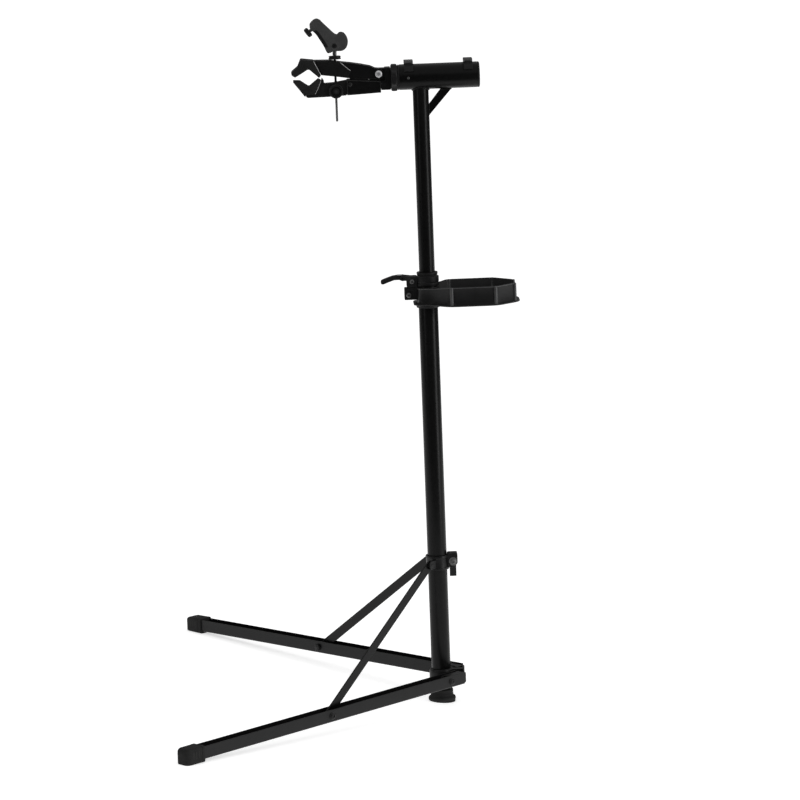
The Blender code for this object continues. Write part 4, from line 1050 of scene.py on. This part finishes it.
def build_rod():
    """The threaded rod: a tight run of ridges up to a plain shoulder and the eye round the lever's pin."""
    pitch = 0.00125
    profile = [(0.0, ROD_BOTTOM), (0.0017, ROD_BOTTOM)]
    z = ROD_BOTTOM + 0.0006
    top = ARM_Z + 0.047
    while z < top - pitch:
        profile += [(ROD_R, z), (ROD_R - 0.00045, z + pitch / 2)]
        z += pitch
    profile += [
        (ROD_R - 0.0003, top), (0.0038, top + 0.0006), (0.004, top + 0.0012),
        (0.004, CAM_PIN.z - 0.004), (0.0, CAM_PIN.z - 0.004),
    ]
    bm = lathe(profile, 20)
    eye = [
        (0.0, -0.004), (0.0052, -0.004), (0.0058, -0.0034), (0.0058, 0.0034), (0.0052, 0.004),
        (0.0, 0.004),
    ]
    lathe(eye, 32, bm, Matrix.Translation((0, 0, CAM_PIN.z)) @ TO_NEAR)
    add("threaded_rod", bm, ROD_STEEL, "handle", ["clamp_rod"], stand(NUT.x, 0, 0), angle=25)


LEVER_NOSE = [
    (0.0005, 0.0233), (0.0059, 0.0206), (0.0094, 0.0247), (0.0139, 0.026), (0.0193, 0.0241),
    (0.0236, 0.0188), (0.0263, 0.0126), (0.0268, 0.0059), (0.0252, -0.0008), (0.022, -0.0062),
    (0.0166, -0.0099), (0.0126, -0.0107), (-0.0021, -0.0107), (-0.0088, -0.0139), (-0.0134, -0.0142),
    (-0.0158, -0.011),
]
LEVER_BACK = [
    (-0.0182, -0.0048), (-0.0222, 0.0032), (-0.0263, 0.0099), (-0.0303, 0.0166), (-0.0351, 0.0241),
    (-0.0397, 0.0287),
]
LEVER_GRIP = [
    (-0.0437, 0.0314), (-0.0464, 0.0367), (-0.0464, 0.0429), (-0.0423, 0.0482), (-0.037, 0.0523),
    (-0.0316, 0.0533), (-0.0263, 0.0509), (-0.0222, 0.0461), (-0.0142, 0.0381), (-0.0062, 0.03),
]


def rounder(outline):
    """Cuts each corner of an outline twice, so that it runs smoothly."""
    for _ in range(2):
        made = []
        for first, second in zip(outline, outline[1:] + outline[:1]):
            a, b = Vector(first), Vector(second)
            made += [tuple(a * 0.78 + b * 0.22), tuple(a * 0.22 + b * 0.78)]
        outline = made
    return outline


def build_cam_lever():
    """A moulded lever: two cheeks astride the rod's eye, a solid grip and a darker strip down its back."""
    at = stand(*CAM_PIN)
    body = "cam_lever"
    outline = rounder(LEVER_NOSE + LEVER_BACK + LEVER_GRIP)
    bm = bmesh.new()
    for side in (-1, 1):
        low, high = sorted((side * 0.0049, side * 0.0096))
        prism(outline, low, high, bm)
    add("lever_cheeks", bm, GREY_PLASTIC, body, ["cam_lever"], at, 0.0015, 3)
    spine = arc((0, 0), 0.0256, 96, 160, 14) + LEVER_BACK[2:] + LEVER_GRIP
    add("lever_spine", prism(spine, -0.0056, 0.0056), GREY_PLASTIC, body, at=at, bevel=0.0006)
    inner = [(x + 0.0062, z + 0.0034) for x, z in LEVER_BACK]
    strip = [(x + 0.0002, z + 0.0001) for x, z in LEVER_BACK] + inner[::-1]
    for side, name in SIDES:
        low, high = sorted((side * 0.008, side * 0.0099))
        add("lever_strip_" + name, prism(strip, low, high), PLASTIC, body, at=at, bevel=0.0005)
    # A dark ring on the lever's face round the pin: painted shade standing for the shadowed hole there.
    hole_shade = lathe(
        [(0.0, 0.0), (0.005, 0.0), (0.0048, 0.0005), (0.0036, 0.0005), (0.0033, 0.0003), (0.0, 0.0003)],
        36,
    )
    add("lever_hole_shade", hole_shade, DARK_STEEL, body, at=at @ TO_NEAR @ Matrix.Translation((0, 0, 0.0094)))
    pin = [
        (0.0, 0.0098), (0.001, 0.0098), (0.0014, 0.0092), (0.0021, 0.0102), (0.0027, 0.01),
        (0.0028, 0.0094),
        (0.0028, -0.0094), (0.0024, -0.0103), (0.0, -0.0103),
    ]
    add("lever_axle", lathe(pin, 30), DARK_STEEL, body, ["cam_pin"], at @ TO_NEAR)
    knob_at = stand(KNOB.x, KNOB.y, KNOB.z, -KNOB_TILT, "Y") @ TO_X
    knob = [
        (0.0, -0.009), (0.0062, -0.009), (0.0084, -0.0082), (0.0095, -0.0068), (0.0098, -0.0058),
        (0.0092, -0.005), (0.0092, -0.0042), (0.0098, -0.0034), (0.0098, -0.0022), (0.0088, -0.0008),
        (0.0074, -0.0002), (0.004, -0.0002), (0.0, -0.0008),
    ]
    add("knob", lathe(knob, 48), PLASTIC, "crank_knob", ["crank_knob"], knob_at)
    stem = lathe([(0.0, -0.001), (0.0033, -0.001), (0.0033, 0.006), (0.0, 0.006)], 24)
    add("knob_stem", stem, ROD_STEEL, body, at=knob_at)


build_mast()
build_arm()
build_bracket()
for leg_side, leg_name in SIDES:
    build_leg(leg_side, leg_name)
build_collar()
build_height_clamp()
build_tray()
build_lock_ring()
build_head()
build_upper_jaw()
build_clamp_screw()


# Floor, light and camera
def build_floor():
    mesh = bpy.data.meshes.new("floor")
    half_width = 20
    front = -1.2
    back = 40
    corners = [
        (-half_width, front, 0), (half_width, front, 0), (half_width, back, 0), (-half_width, back, 0),
    ]
    mesh.from_pydata(corners, [], [(0, 1, 2, 3)])
    floor = bpy.data.objects.new("floor", mesh)
    bpy.context.scene.collection.objects.link(floor)
    pale = bpy.data.materials.new("floor_paper")
    pale.use_nodes = True
    shader = pale.node_tree.nodes["Principled BSDF"]
    shader.inputs["Base Color"].default_value = (0.9, 0.9, 0.9, 1.0)
    shader.inputs["Roughness"].default_value = 0.95
    shader.inputs["Specular IOR Level"].default_value = 0.1
    shader.inputs["Emission Color"].default_value = (1.0, 1.0, 1.0, 1.0)
    shader.inputs["Emission Strength"].default_value = 0.6
    mesh.materials.append(pale)


def area_light(name, place, target, size, power, tall=None):
    light = bpy.data.lights.new(name, "AREA")
    light.energy = power
    light.size = size
    if tall:
        light.shape = "RECTANGLE"
        light.size_y = tall
    lamp = bpy.data.objects.new(name, light)
    bpy.context.scene.collection.objects.link(lamp)
    lamp.location = place
    lamp.rotation_euler = (Vector(target) - Vector(place)).to_track_quat("-Z", "Y").to_euler()


def build_light():
    world = bpy.data.worlds.new("studio")
    world.use_nodes = True
    tree = world.node_tree
    backdrop = tree.nodes["Background"]
    backdrop.inputs["Color"].default_value = (1.0, 1.0, 1.0, 1.0)
    # The paper behind the stand is white, and the rest of the room is dim.
    seen = tree.nodes.new("ShaderNodeLightPath")
    strength = span(tree, seen.outputs["Is Camera Ray"], 0.08, 1.0)
    tree.links.new(strength.outputs["Result"], backdrop.inputs["Strength"])
    bpy.context.scene.world = world
    target = (-0.1, 0.0, 0.7)
    area_light("key", (3.2, -1.8, 1.3), target, 1.3, 60, 3.0)
    area_light("fill", (-3.4, -2.6, 2.0), target, 0.8, 12, 2.4)
    sky = bpy.data.lights.new("overhead", "SUN")
    sky.energy = 1.5
    sky.angle = 2.4
    overhead = bpy.data.objects.new("overhead", sky)
    bpy.context.scene.collection.objects.link(overhead)
    bpy.context.scene.view_settings.view_transform = "Standard"


def build_camera():
    """The main view: a long lens, well above the clamp, rolled so that the mast looks upright."""
    yaw, pitch, roll = 0.037, -0.1621, 0.0369
    forward = Vector((math.sin(yaw) * math.cos(pitch), math.cos(yaw) * math.cos(pitch), math.sin(pitch)))
    level = Vector((math.cos(yaw), -math.sin(yaw), 0.0))
    upright = level.cross(forward)
    right = level * math.cos(roll) + upright * math.sin(roll)
    up = upright * math.cos(roll) - level * math.sin(roll)
    lens = bpy.data.cameras.new("camera")
    lens.sensor_width = 36.0
    lens.lens = 204.9
    lens.clip_end = 60.0
    camera = bpy.data.objects.new("camera", lens)
    bpy.context.scene.collection.objects.link(camera)
    turned = Matrix((right, up, -forward)).transposed().to_4x4()
    place = (-0.4317, -8.8034, 2.0405)
    camera.matrix_world = Matrix.Translation(place) @ turned
    bpy.context.scene.camera = camera


build_floor()
build_light()
build_camera()
